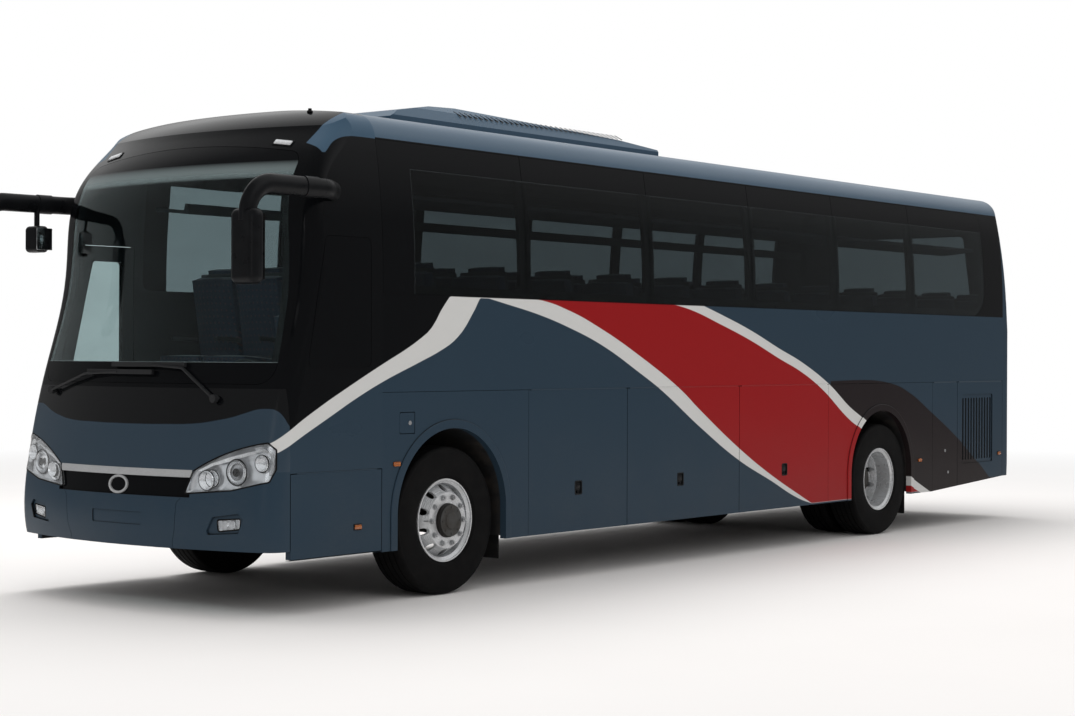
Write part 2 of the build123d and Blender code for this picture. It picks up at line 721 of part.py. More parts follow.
def mirrors():
    """Both mirrors: a collared arm from the pillar, forwards and down to a rounded head.

    The right arm also carries a small kerb mirror.
    """
    x, y, z = mirror_root
    head_x, head_y, head_z = mirror_head_place
    root = (x, y, z)
    knee = (x + 170, head_y - 6, z + 4)
    path = FilletPolyline(root, knee, (head_x, head_y, z), (head_x, head_y, head_z + 160), radius=[150, 210])
    arm = mirror_arm_solid(path)
    along = (Vector(head_x, head_y, z) - Vector(knee)).normalized()
    collar_start = Vector(knee) + along * 110
    arm += mirror_arm_solid(Line(collar_start, collar_start + along * 120), 5)
    head = fillet(Box(*mirror_head).edges(), 48)
    arm -= nose_outer
    arm = max(arm.solids(), key=lambda solid: solid.volume)
    left = arm + Pos(*mirror_head_place) * head
    right = mirror(left, Plane.XZ)
    kx, ky, kz = kerb_mirror_place
    kerb = Pos(*kerb_mirror_place) * fillet(Box(*kerb_mirror).edges(), 32)
    stalk = extrude(Plane(origin=(kx, ky, kz)) * Ellipse(16, 24), z - 30 - kz)
    right = right + stalk + kerb
    return Compound(children=[*left.solids(), *right.solids()])


def front_x(y, z):
    """About where the front end's surface lies at a place on its face."""
    for (low, low_reach, _), (high, high_reach, _) in zip(nose_levels, nose_levels[1:]):
        if low <= z <= high:
            reach = low_reach + (high_reach - low_reach) * (z - low) / (high - low)
            return front_turn_centre_x + sqrt((front_axle_x + reach - front_turn_centre_x) ** 2 - y**2)
    raise ValueError(z)


# pivot (y, z), elbow (y, z), and the blade's ends in y and its height
wiper_layout = [
    ((body_half_width - 502, 1395), (470, 1590), (-225, 470), 1612),
    ((340 - body_half_width, 1428), (-495, 1545), (-495, 195), 1562),
]
wiper_spindle = 14
wiper_stand_off = 20  # the blade's back from the surface


def wipers():
    """Both parked wipers: spindle, cranked arm, and a blade that follows the curved front."""
    solids = []
    for pivot, elbow, (end_a, end_b), blade_z in wiper_layout:
        root_x = front_x(*pivot)
        middle = (end_a + end_b) / 2
        spindle = Plane(origin=(root_x - wall - 10, *pivot), z_dir=(1, 0, 0)) * Circle(wiper_spindle)
        head = Plane(origin=(root_x + 22, *pivot), z_dir=(1, 0, 0)) * Circle(27)
        part = extrude(spindle, wall + 50) + extrude(head, 30)
        reach = front_x(middle, blade_z) + wiper_stand_off
        path = FilletPolyline(
            (root_x + 40, *pivot), (front_x(*elbow) + 48, *elbow), (reach + 12, middle, blade_z), radius=60)
        part += sweep(Plane(path @ 0, z_dir=path % 0) * RectangleRounded(14, 24, 5), path)
        radius = reach - front_turn_centre_x
        band = Circle(radius + 22) - Circle(radius)
        band &= Pos(radius, middle) * Rectangle(400, end_b - end_a)
        part += Pos(front_turn_centre_x, 0, blade_z - 16) * extrude(band, 32)
        solids += part.solids()
    return Compound(children=solids)


marker_places = [(front_axle_x + 578, 942), (rear_axle_x - 744, 674)]
marker_size = (66, 9, 30)


def side_markers():
    """The amber marker lamps on the side walls."""
    lenses = []
    for x, z in marker_places:
        length, depth, height = marker_size
        lens = Pos(x, body_half_width + fit + depth / 2, z) * Box(length, depth, height)
        lenses += fillet(lens.edges().filter_by(Axis.Y), 8).solids()
    return both_sides(Compound(children=lenses))


# ================================================================ wheels
def ring(points):
    """A closed (radius, y) outline turned round the Y axis."""
    return revolve(Plane.XY * make_face(Polyline(*points, close=True)), Axis.Y)


tread_grooves = [(75, 1.5), (25, 0), (-25, 0), (-75, 1.5)]  # distance from the middle, and fall of the tread
groove_width = 11
groove_depth = 12


def tread_line(shoulder):
    """The tread from shoulder to shoulder, with its grooves, as (radius, y) points."""
    points = [(tyre_radius - 4, shoulder)]
    for middle, fall in tread_grooves:
        top, half = tyre_radius - fall, groove_width / 2
        points += [(top, middle + half), (top - groove_depth, middle + half - 2)]
        points += [(top - groove_depth, middle - half + 2), (top, middle - half)]
    return Polyline(*points, (tyre_radius - 4, -shoulder))


def tyre():
    """One tyre about the Y axis, with bulged sides and a grooved, slightly crowned tread."""
    half = tyre_width / 2
    bead = rim_radius + fit
    pieces = [
        Line((bead, -half + 22), (bead, half - 22)),
        Line((bead, half - 22), (bead + 28, half - 5)),
        ThreePointArc((bead + 28, half - 5), ((bead + tyre_radius) / 2, half), (tyre_radius - 34, half - 8)),
        ThreePointArc(
            (tyre_radius - 34, half - 8),
            (tyre_radius - 13, half - 14),
            (tyre_radius - 4, half - 32),
        ),
        tread_line(half - 32),
        ThreePointArc(
            (tyre_radius - 4, -half + 32), (tyre_radius - 13, -half + 14), (tyre_radius - 34, -half + 8)),
        ThreePointArc(
            (tyre_radius - 34, -half + 8), ((bead + tyre_radius) / 2, -half), (bead + 28, -half + 5)),
        Line((bead + 28, -half + 5), (bead, -half + 22)),
    ]
    return revolve(make_face([edge for piece in pieces for edge in piece.edges()]), Axis.Y)


disc_thickness = 14
hub_bore = 45.5
spindle_plate_y = 74  # the knuckle's plate begins this far outboard of the kingpin
spindle_plate = 30
spindle_radius = 45
front_disc_offset = 150  # mounting face outboard of the tyre's middle
rear_disc_offset = 169
hand_holes = 10
hand_hole_radius = 25
hub_radius = 118
front_hub_start = kingpin_y + spindle_plate_y + spindle_plate + 6 - wheel_plane_y


def rim_runs(dish):
    """A steel rim's outline in two runs, either side of its hub, as (radius, distance towards the dish)."""
    r = rim_radius
    half = tyre_width / 2 - 14
    back = [
        (r, half), (r, half - 14), (r - 20, half - 26), (r - 20, 26 - half), (r, 14 - half), (r, -half),
        (r - 10, -half), (r - 10, 10 - half), (r - 32, 24 - half), (r - 32, 34), (r - 40, 34),
        (r - 64, dish - 76), (r - 102, dish - disc_thickness),
    ]
    face = [
        (r - 96, dish), (r - 52, dish - 66), (r - 32, 52), (r - 32, half - 24), (r - 10, half - 10),
        (r - 10, half),
    ]
    return back, face


def hub_run(y0, y1):
    """The outline of a hub bored for its spindle and closed at its outer end."""
    return [
        (hub_radius, y0), (hub_bore, y0), (hub_bore, y1 - 20), (0, y1 - 20), (0, y1), (hub_radius - 16, y1),
        (hub_radius, y1 - 16),
    ]


def hand_holes_cut(shape):
    """A wheel with its ring of hand holes drilled through."""
    for index in range(hand_holes):
        turn = Rot(0, 360 / hand_holes * (index + 0.5), 0)
        shape -= turn * Pos(rim_radius - 70, 0, 0) * Rot(90, 0, 0) * Cylinder(hand_hole_radius, 6000)
    return shape


def front_wheel(side):
    """A steered wheel: tyre, and rim with its dish outwards and its hub."""
    back, face = rim_runs(front_disc_offset)
    hub = hub_run(front_hub_start, front_disc_offset + 36)
    seat = [(hub_radius, front_disc_offset - disc_thickness)]
    metal = hand_holes_cut(ring([*back, *seat, *hub, (hub_radius, front_disc_offset), *face]))
    solids = [*metal.solids(), *tyre().solids()]
    return on_side(Pos(front_axle_x, wheel_plane_y, tyre_radius) * Compound(children=solids), side)


def rear_wheels(side):
    """A twin wheel: two tyres on two rims that meet dish to dish on one hub."""
    inner_y = rear_outer_y - 2 * rear_disc_offset
    middle = inner_y + rear_disc_offset
    back, face = rim_runs(rear_disc_offset)
    inner_back = [(radius, inner_y + y) for radius, y in back]
    inner_face = [(radius, inner_y + y) for radius, y in face]
    outer_back = [(radius, rear_outer_y - y) for radius, y in reversed(back)]
    outer_face = [(radius, rear_outer_y - y) for radius, y in reversed(face[1:])]
    hub = hub_run(middle - 150, middle + 130)
    outline = [
        *inner_back, (hub_radius, middle - disc_thickness), *hub, (hub_radius, middle + disc_thickness),
        *outer_back, *outer_face, *inner_face,
    ]
    metal = hand_holes_cut(ring(outline))
    solids = metal.solids()
    for y in (rear_outer_y, inner_y):
        solids += (Pos(0, y, 0) * tyre()).solids()
    return on_side(Pos(rear_axle_x, 0, tyre_radius) * Compound(children=solids), side)


# ================================================================ axles and knuckles
differential_radius = 205
pinion_reach = 260  # rear axle to the propeller shaft's flange
beam_half = 48
kingpin_radius = 21
lug_gap = 0.5


def front_axle():
    """The front axle beam, dropped in the middle, with kingpin eyes and two air springs."""
    z = tyre_radius
    beam = front_prism([
        (-kingpin_y - 40, z + 50), (-kingpin_y - 40, z - 50), (-860, z - 50), (-740, z - 130), (740, z - 130),
        (860, z - 50), (kingpin_y + 40, z - 50), (kingpin_y + 40, z + 50), (820, z + 50), (700, z - 40),
        (-700, z - 40), (-820, z + 50)], front_axle_x - beam_half, front_axle_x + beam_half)
    for y in (-kingpin_y, kingpin_y):
        beam -= bar_z(front_axle_x, y, kingpin_radius + lug_gap, z - 200, z + 200)
    for y in (-rail_y, rail_y):
        beam += bar_z(front_axle_x, y, 105, z - 45, frame_z)
    return beam


def knuckle(side):
    """A steering knuckle: two lugs on the kingpin and the spindle that carries the hub."""
    z = tyre_radius
    inner = kingpin_y - 38
    body = block(front_axle_x - 42, front_axle_x + 42, inner, kingpin_y + 42, z + 50 + 5, z + 90)
    body += block(front_axle_x - 42, front_axle_x + 42, inner, kingpin_y + 42, z - 90, z - 50 - 5)
    plate_y = kingpin_y + spindle_plate_y
    body += block(front_axle_x - 60, front_axle_x + 60, plate_y, plate_y + spindle_plate, z - 90, z + 90)
    for low in (z + 55, z - 90):
        body += block(front_axle_x - 42, front_axle_x + 42, kingpin_y + 20, kingpin_y + 90, low, low + 35)
    body += bar_z(front_axle_x, kingpin_y, kingpin_radius, z - 90, z + 90)
    body += bar_y(front_axle_x, z, spindle_radius, kingpin_y + 90, wheel_plane_y + front_disc_offset + 10)
    return on_side(body, side)


def rear_axle():
    """The driven axle: tube, differential, spring beams and four air springs."""
    z = tyre_radius
    reach = rear_outer_y - rear_disc_offset + 105
    axle = bar_y(rear_axle_x, z, 78, -570, 570)
    axle += bar_y(rear_axle_x, z, spindle_radius, -reach, reach)
    axle += Pos(rear_axle_x, 0, z) * Sphere(differential_radius)
    nose = Plane(origin=(rear_axle_x - pinion_reach, 0, z), z_dir=(1, 0, 0)) * Circle(72)
    axle += extrude(nose, pinion_reach)
    for y in (-rail_y, rail_y):
        axle += block(rear_axle_x - 560, rear_axle_x + 560, y - 40, y + 40, z - 62, z - 2)
        for x in (rear_axle_x - 430, rear_axle_x + 430):
            axle += bar_z(x, y, 105, z - 30, frame_z)
    return axle


# ================================================================ frame, floor, driveline
rail_y = 430
rail_half = 38
rail_height = 170


def chassis_frame():
    """Front and rear frame rails with their cross members."""
    frame = None
    spans = [
        (front_bulkhead_x + bulkhead / 2, front_axle_x + 1500,
         [front_axle_x - 500, front_axle_x + 350, front_axle_x + 1450]),
        (tail_x + 420, rear_bulkhead_x - bulkhead / 2,
         [tail_x + 450, rear_axle_x - 640, rear_axle_x + 640]),
    ]
    for x0, x1, members in spans:
        ladder = None
        for y in (-rail_y, rail_y):
            rail = block(x0, x1, y - rail_half, y + rail_half, frame_z, frame_z + rail_height)
            ladder = rail if ladder is None else ladder + rail
        for x in members:
            ladder += block(x - 30, x + 30, -rail_y, rail_y, frame_z + 40, frame_z + rail_height - 40)
        frame = ladder if frame is None else Compound(children=[*frame.solids(), *ladder.solids()])
    return frame


liner = 15
tyre_side_clearance = 28
liner_inner_y = rear_outer_y - 2 * rear_disc_offset - tyre_width / 2 - tyre_side_clearance
bulkhead = 30
bay_half_width = body_half_width - wall - 10
platform_x = (front_axle_x + 640, front_axle_x + 1500)
floor_end = 70  # the floor stops this far ahead of the tail
jack_pad = 130
jack_pad_thickness = 12
jack_pad_y = 900
fascia_top_z = 1297
fascia_thickness = 30
bearing_thickness = 25
bearing_half = 35
step_wall_y = -560  # the stairwell's inner wall


def floor_structure():
    """The saloon floor, the luggage bays' floor and bulkheads, and the jacking pads."""
    under = floor_z - floor_thickness
    half = bay_half_width
    saloon = block(tail_x + floor_end, platform_x[0], -half, half, under, floor_z)
    saloon = fillet(saloon.edges().filter_by(Axis.Z).group_by(Axis.X)[0], tail_radius - wall + 15)
    low = bay_floor_z - bay_floor_thickness
    solids = [*saloon.solids(), block(rear_bulkhead_x, front_bulkhead_x, -half, half, low, bay_floor_z)]
    inner_walls = [front for _, front, _ in bay_flaps[1:3]]
    for x in inner_walls:
        solids.append(block(x - bulkhead / 2, x + bulkhead / 2, -half, half, bay_floor_z, under))
    for x, ahead in ((front_bulkhead_x, 1), (rear_bulkhead_x, -1)):
        x0, x1 = sorted((x, x + ahead * bulkhead / 2))
        solids.append(block(x0, x1, -half, half, low, under))
    for x in (front_bulkhead_x - 120, rear_bulkhead_x + 120):
        for y in (-jack_pad_y, jack_pad_y):
            pad = Box(jack_pad, jack_pad, jack_pad_thickness)
            solids.append(Pos(x, y, low - jack_pad_thickness / 2) * pad)
    return Compound(children=solids)


def wheel_housings():
    """The four boxed wheel housings, each open outwards and below, under the saloon floor."""
    inner = body_half_width - wall
    under = floor_z - floor_thickness
    solids = []
    for x in (front_arch_x, rear_arch_x):
        housing = arch_prism(x, liner, liner_inner_y - liner, inner) - arch_prism(x, 0, liner_inner_y, far)
        housing = housing & block(x - 900, x + 900, 0, inner, skirt_z + 20, under)
        housing -= block(x - 300, x + 300, 0, liner_inner_y + 1, 0, frame_z + rail_height)
        solids += [*housing.solids(), *mirror(housing, Plane.XZ).solids()]
    return Compound(children=solids)


def driver_platform():
    """The driver's platform, its riser and seat box, and the entrance steps with the door post's bearing."""
    x0, x1 = platform_x
    inner = body_half_width - wall
    under = floor_z - floor_thickness
    half, top = bay_half_width, driver_floor_z
    low = top - 40
    tread_end = x1 - fascia_thickness
    post_x, post_y = door_post
    bearing_z = fascia_top_z - bearing_thickness
    bearing = block(post_x - bearing_half, tread_end, post_y - bearing_half, post_y + bearing_half, bearing_z,
                    fascia_top_z)
    solids = [
        block(x0, x1, step_wall_y, half, low, top),
        block(x0 - 30, x0, -inner, inner, low, under),
        block(x0 - 30, x0, -half, step_wall_y + 30, step_z - 30, low),
        block(x0, x1, step_wall_y, step_wall_y + 30, step_z - 30, low),
        block(x0, x1, -half, step_wall_y, step_z - 30, step_z),
        block(x0, tread_end, -930, step_wall_y, step_z, step_z + 230),
        block(x0, tread_end, -745, step_wall_y, step_z + 230, top),
        block(x0, x0 + 260, -300, 300, top, top + 175),
        block(tread_end, x1, post_y - bearing_half, step_wall_y, step_z, fascia_top_z),
        bearing - bar_z(post_x, post_y, door_post_radius + 0.5, bearing_z - 1, fascia_top_z + 1),
    ]
    return Compound(children=solids)


engine_half = 230
gearbox_length = 560
gearbox_z = 640
gearbox_radii = (250, 150)
fan_radius = 210


def bar_x(x0, x1, y, z, radius):
    """A round bar along the coach."""
    return extrude(Plane(origin=(x0, y, z), z_dir=(1, 0, 0)) * Circle(radius), x1 - x0)


def engine():
    """The rear engine: fan, crankcase, head, sump, and the gearbox with the propeller shaft."""
    x0, x1 = tail_x + 490, rear_axle_x - 680
    front = x1 - gearbox_length
    unit = block(x0 + 120, front, -engine_half, engine_half, 560, 860)
    unit += block(x0 + 140, front - 30, 60 - engine_half, engine_half - 60, 860, 1060)
    unit += block(x0 + 170, front - 60, 90 - engine_half, engine_half - 90, 1060, 1100)
    unit += block(x0 + 180, front - 90, 50 - engine_half, engine_half - 50, 470, 560)
    unit += bar_x(x0, x0 + 45, 0, 780, fan_radius)
    unit += bar_x(x0 + 45, x0 + 121, 0, 780, 60)
    bell = Plane(origin=(front, 0, gearbox_z), z_dir=(1, 0, 0)) * Pos(0, 0, gearbox_length / 2)
    unit += bell * Cone(*gearbox_radii, gearbox_length)
    top = frame_z + rail_height
    for x in (x0 + 150, x1 - 250):
        unit += block(x, x + 90, -rail_y - 30, rail_y + 30, top, top + 40)
    return unit + bar_x(x1 - 1, rear_axle_x - pinion_reach, 0, tyre_radius, 48)


def fuel_tanks():
    """The pair of fuel tanks between the front wheel housings and the first luggage bay."""
    x0 = front_bulkhead_x + bulkhead / 2
    x1 = front_arch_x - arch_radius - liner - 12
    tank = block(x0, x1, rail_y + rail_half + 22, body_half_width - wall - 30, 440, 1120)
    return both_sides(fillet(tank.edges().filter_by(Axis.Y), 60))


# ================================================================ cabin
def dashboard():
    """The dashboard on the driver's platform, with the steering column."""
    fx = front_axle_x
    dash = side_prism([
        (fx + 1260, driver_floor_z), (fx + 1495, driver_floor_z), (fx + 1495, 1470), (fx + 1420, 1500),
        (fx + 1270, 1450), (fx + 1200, 1370), (fx + 1200, 1300), (fx + 1260, 1200)], step_wall_y, 1120)
    frame = steering_frame()
    column = Pos(0, 0, -175) * Cylinder(34, 150)
    bore = Pos(0, 0, -150) * Cylinder(shaft_radius + 0.5, 200)
    return dash + frame * column - frame * bore


shaft_radius = 16
wheel_centre = (front_axle_x + 1150, 600, 1530)
wheel_tilt = 28  # the steering wheel's plane from the horizontal
steering_radius = 225


def steering_frame():
    """The plane of the steering wheel, its z axis pointing up the column to the driver."""
    return Plane(origin=wheel_centre, x_dir=(0, 1, 0),
                 z_dir=(-sin(radians(wheel_tilt)), 0, cos(radians(wheel_tilt))))


def steering_wheel():
    """The steering wheel's rim, two spokes, hub and shaft."""
    place = steering_frame()
    rim_ring = Torus(steering_radius, 15)
    spokes = Box(2 * steering_radius - 10, 34, 12)
    spokes += Pos(0, -steering_radius / 2, 0) * Box(34, steering_radius - 10, 12)
    boss = Pos(0, 0, -12) * Cylinder(52, 45)
    shaft = Pos(0, 0, -95) * Cylinder(shaft_radius, 150)
    return place * (rim_ring + spokes + boss + shaft)


def driver_seat():
    """The driver's sprung seat on its pedestal."""
    x = front_axle_x + 660
    seat = side_prism([
        (x + 90, 1270), (x + 520, 1290), (x + 530, 1370), (x + 190, 1360), (x + 110, 2080), (x, 2070),
        (x + 60, 1280)], 360, 840, 25)
    seat += block(x + 170, x + 450, 470, 730, driver_floor_z, 1285)
    return seat


seat_pitch = 800
seat_outline = [  # (x, z) from the foot of the backrest at floor level, facing +X
    (110, 0), (330, 0), (330, 300), (470, 330), (475, 425), (140, 430), (30, 1110), (-80, 1100), (20, 330),
    (110, 300),
]
aisle_half = 245
first_row_x = front_axle_x + 60


def passenger_seats():
    """Rows of double seats on both sides of the aisle, and the bench across the tail."""
    rows = int((first_row_x - (tail_x + 900)) // seat_pitch)
    solids = []
    inner = body_half_width - wall - 12
    for row in range(rows + 1):
        x = first_row_x - row * seat_pitch
        points = [(x + dx, floor_z + dz) for dx, dz in seat_outline]
        solids += side_prism(points, aisle_half, inner).solids()
        solids += side_prism(points, -inner, -aisle_half).solids()
    bench_x = first_row_x - (rows + 1) * seat_pitch
    points = [(bench_x + dx, floor_z + dz) for dx, dz in seat_outline]
    solids += side_prism(points, -inner, inner).solids()
    return Compound(children=solids)


rack_x = (tail_x + 750, front_axle_x + 560)
rack_edge = body_half_width - 420  # the rack's aisle edge
rack_z = floor_z + 1490
rack_profile = [
    (rack_edge, rack_z), (body_half_width + 135, rack_z + 55), (body_half_width + 135, rack_z + 80),
    (rack_edge + 37, rack_z + 32), (rack_edge + 23, rack_z + 80), (rack_edge - 7, rack_z + 77),
]


def luggage_racks():
    """The open parcel racks over the seats, their outer edges on the window pillars."""
    rack = front_prism(rack_profile, *rack_x) & tail_form(wall + fit)
    return both_sides(rack)


# ================================================================ roof equipment, flaps of the tail
ac_front_x = front_axle_x + 140
ac_rear_x = front_axle_x - 3200
ac_half_width = 800
ac_base_z = roof_z - 178
# x from the unit's front, height over the roof
ac_spine = [(0, 0), (-110, 54), (-530, 125), (-850, 142), (-2840, 69), (-3340, 27)]
ac_shoulder = [(0, 12), (-60, 92), (-130, 142)]  # y from its side, over the roof
fan_places = [(ac_front_x - 1390, 340), (ac_front_x - 2190, 340)]
fan_well_radius = 205
fan_well_z = roof_z + 88


def air_conditioner():
    """The roof air-conditioning unit, with its four fan wells, its underside on the roof's crown."""
    spine = [(ac_front_x + dx, roof_z + dz) for dx, dz in ac_spine]
    outline = [(ac_rear_x, ac_base_z), (ac_front_x, ac_base_z), *spine]
    shell = side_prism(outline, -ac_half_width, ac_half_width)
    shoulder = [(ac_half_width + dy, roof_z + dz) for dy, dz in ac_shoulder]
    profile = [(-ac_half_width, ac_base_z), (ac_half_width, ac_base_z), *shoulder]
    profile += [(-y, z) for y, z in reversed(shoulder)]
    shell &= front_prism(profile, ac_rear_x - 10, ac_front_x + 10)
    for x, y in fan_places:
        for well_y in (-y, y):
            shell -= bar_z(x, well_y, fan_well_radius, fan_well_z, roof_z + 300)
    return shell - Pos(0, 0, fit) * body_outer


hatch_x = (tail_x + 1650, tail_x + 2350)
hatch_half_width = 350
hatch_thickness = 40
hatch_hinge_x = hatch_x[1] + 16
hatch_hinge_z = roof_z + 22
hatch_pin_radius = 8
hatch_lug_y = (165, 185)
hatch_lug_radius = 14
hatch_lap = 30  # the lid laps over the roof's opening by this much all round


def roof_hatch():
    """The escape hatch's lid, domed with the roof and standing just proud of it."""
    x0, x1 = hatch_x
    lid = block(x0, x1, -hatch_half_width, hatch_half_width, roof_z - 178, roof_z + 222)
    lid = (lid & Pos(0, 0, hatch_thickness) * body_outer) - Pos(0, 0, 0.5) * body_outer
    near, end = hatch_lug_y[0] - 5, hatch_lug_y[1] - 2
    lid += block(x1 - 20, hatch_hinge_x, -near, near, hatch_hinge_z - 8, hatch_hinge_z + 8)
    return lid + bar_y(hatch_hinge_x, hatch_hinge_z, hatch_pin_radius, -end, end)


def hatch_lug():
    """The roof's left lug for the hatch's hinge pin."""
    x, z = hatch_hinge_x, hatch_hinge_z
    foot = [(x - 10, roof_z - 25), (x + 30, roof_z - 25), (x + 10, z), (x - 10, z)]
    lug = side_prism(foot, *hatch_lug_y) + bar_y(x, z, hatch_lug_radius, *hatch_lug_y)
    return lug - bar_y(x, z, hatch_pin_radius + 0.5, 0, 300)


def fuel_bead(extra=0.0):
    """The upright bead (or, with some extra, its groove) at the fuel flap's front edge."""
    x = fuel_flap_outline[1][0] + fuel_hinge_offset
    z0 = fuel_flap_outline[1][1] + 8
    z1 = fuel_flap_outline[2][1] - 8
    return bar_z(x, body_half_width - bead_depth, 4.5 + extra, z0 - extra, z1 + extra)


def fuel_flap():
    """The small side-hinged flap over the filler neck."""
    leaf = side_prism(fuel_flap_outline, body_half_width - fuel_flap_thickness, body_half_width)
    return leaf + fuel_bead()


def mud_flaps():
    """The rubber flaps behind the wheels."""
    flaps = []
    for arch_x, y0, low in ((front_arch_x, wheel_plane_y - 274, 205), (rear_arch_x, liner_inner_y + 40, 160)):
        x = arch_x - arch_radius - liner
        flaps += block(x - 8, x, y0, body_half_width - 75, low, 560).solids()
    return both_sides(Compound(children=flaps))


arm_levels = (620, 1150)


def door_arm():
    """The upright turning post at the front of the doorway and its two arms."""
    x, y = door_post
    arm = bar_z(x, y, door_post_radius, step_z + 0.5, fascia_top_z + 5)
    for z in arm_levels:
        arm += block(x - arm_reach, x, y - 14, y + 14, z - 20, z + 20)
        arm += bar_z(x - arm_reach, y, 26, z - 20, z + 20)
        arm -= bar_z(x - arm_reach, y, 12.5, z - 50, z + 50)
    return arm


def door_brackets():
    """The leaf's brackets, each with the pin that its arm turns on."""
    x, y = door_post
    x -= arm_reach
    inner_y = -(body_half_width - wall)
    brackets = None
    for z in arm_levels:
        for low in (z - 42, z + 22):
            plate = block(x - 26, x + 26, inner_y, y + 26, low, low + 20)
            brackets = plate if brackets is None else brackets + plate
        brackets += bar_z(x, y, 12, z - 40, z + 40)
    return brackets


# ================================================================ export
nodes = {
    "left_side_wall": side_wall(1),
    "right_side_wall": side_wall(-1),
    "side_windows": side_windows(),
    "front_shell": front_shell(),
    "windscreen": windscreen(),
    "front_panel": front_panel(),
    "front_bumper": front_bumper(),
    "grille": grille(),
    "driver_flap": driver_flap(),
    "passenger_door": passenger_door(),
    "door_glass": door_glass(),
    "roof_panel": roof_panel(),
    "rear_wall": rear_wall(),
    "rear_window": rear_window(),
    "engine_door": engine_door(),
    "rear_bumper": rear_bumper(),
    "front_lamps": front_lamps(),
    "rear_lamps": rear_lamps(),
    "mirrors": mirrors(),
    "wipers": wipers(),
    "side_markers": side_markers(),
    "luggage_racks": luggage_racks(),
    "air_conditioner": air_conditioner(),
    "roof_hatch": roof_hatch(),
    "fuel_flap": fuel_flap(),
    "mud_flaps": mud_flaps(),
    "door_arm": door_arm(),
    "floor_structure": floor_structure(),
    "wheel_housings": wheel_housings(),
    "driver_platform": driver_platform(),
    "chassis_frame": chassis_frame(),
    "engine": engine(),
    "fuel_tanks": fuel_tanks(),
    "front_axle": front_axle(),
    "rear_axle": rear_axle(),
    "dashboard": dashboard(),
    "steering_wheel": steering_wheel(),
    "driver_seat": driver_seat(),
    "passenger_seats": passenger_seats(),
}
for side, label in ((1, "left"), (-1, "right")):
    nodes[f"{label}_knuckle"] = knuckle(side)
    nodes[f"{label}_front_wheel"] = front_wheel(side)
    nodes[f"{label}_rear_wheels"] = rear_wheels(side)
    for name, front, rear in bay_flaps:
        nodes[f"{label}_{name}"] = bay_flap(name, front, rear, side)

os.makedirs("parts", exist_ok=True)
for name, shape in nodes.items():
    export_step(shape, f"parts/{name}.step")
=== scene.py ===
import logging
import math
from dataclasses import dataclass
from enum import Enum
from typing import NamedTuple

import bmesh
import bpy
from mathutils import Matrix, Vector
from mathutils.bvhtree import BVHTree


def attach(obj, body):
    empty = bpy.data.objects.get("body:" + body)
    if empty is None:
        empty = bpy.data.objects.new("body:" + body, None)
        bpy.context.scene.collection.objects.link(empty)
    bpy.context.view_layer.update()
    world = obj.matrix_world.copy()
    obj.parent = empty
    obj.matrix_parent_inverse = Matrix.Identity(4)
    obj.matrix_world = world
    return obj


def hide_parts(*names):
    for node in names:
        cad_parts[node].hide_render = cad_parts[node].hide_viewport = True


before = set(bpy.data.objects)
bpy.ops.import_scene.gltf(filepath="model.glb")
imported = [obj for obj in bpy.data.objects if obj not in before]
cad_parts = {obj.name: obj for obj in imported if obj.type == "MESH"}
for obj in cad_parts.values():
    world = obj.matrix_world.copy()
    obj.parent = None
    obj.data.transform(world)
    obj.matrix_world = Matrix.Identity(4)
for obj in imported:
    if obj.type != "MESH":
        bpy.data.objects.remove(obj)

logging.basicConfig(level=logging.INFO, format="%(message)s")
log = logging.getLogger("coach")

Colour = tuple[float, float, float, float]
Spot = tuple[float, float, float]
Line = tuple[tuple[float, float], ...]
Socket = bpy.types.NodeSocket

FRONT_AXLE_X = 3.484
REAR_AXLE_X = -2.786
WHEEL_Z = 0.522
SIDE_Y = 1.265
SILL_Z = 2.103


def display(red: int, green: int, blue: int) -> Colour:
    """A colour as a screen shows it, 0 to 255, as the linear colour that a shader takes.

    Args:
        red: red, 0 to 255.
        green: green, 0 to 255.
        blue: blue, 0 to 255.

    Returns:
        The linear colour with an alpha of 1.
    """
    parts = [channel / 255 for channel in (red, green, blue)]
    linear = [c / 12.92 if c <= 0.04045 else ((c + 0.055) / 1.055) ** 2.4 for c in parts]
    return (linear[0], linear[1], linear[2], 1.0)


def shaded(colour: Colour, share: float, lift: float = 0.0) -> Colour:
    """A colour taken darker or lighter by a share, and raised by a little."""
    return (*(min(1.0, c * share + lift) for c in colour[:3]), 1.0)


def shown(name: str, data: bpy.types.ID) -> bpy.types.Object:
    """Puts a mesh, curve, lamp or camera in the scene as an object.

    Args:
        name: the object's name.
        data: its mesh, curve, lamp or camera.

    Returns:
        The object.
    """
    thing = bpy.data.objects.new(name, data)
    bpy.context.scene.collection.objects.link(thing)
    return thing


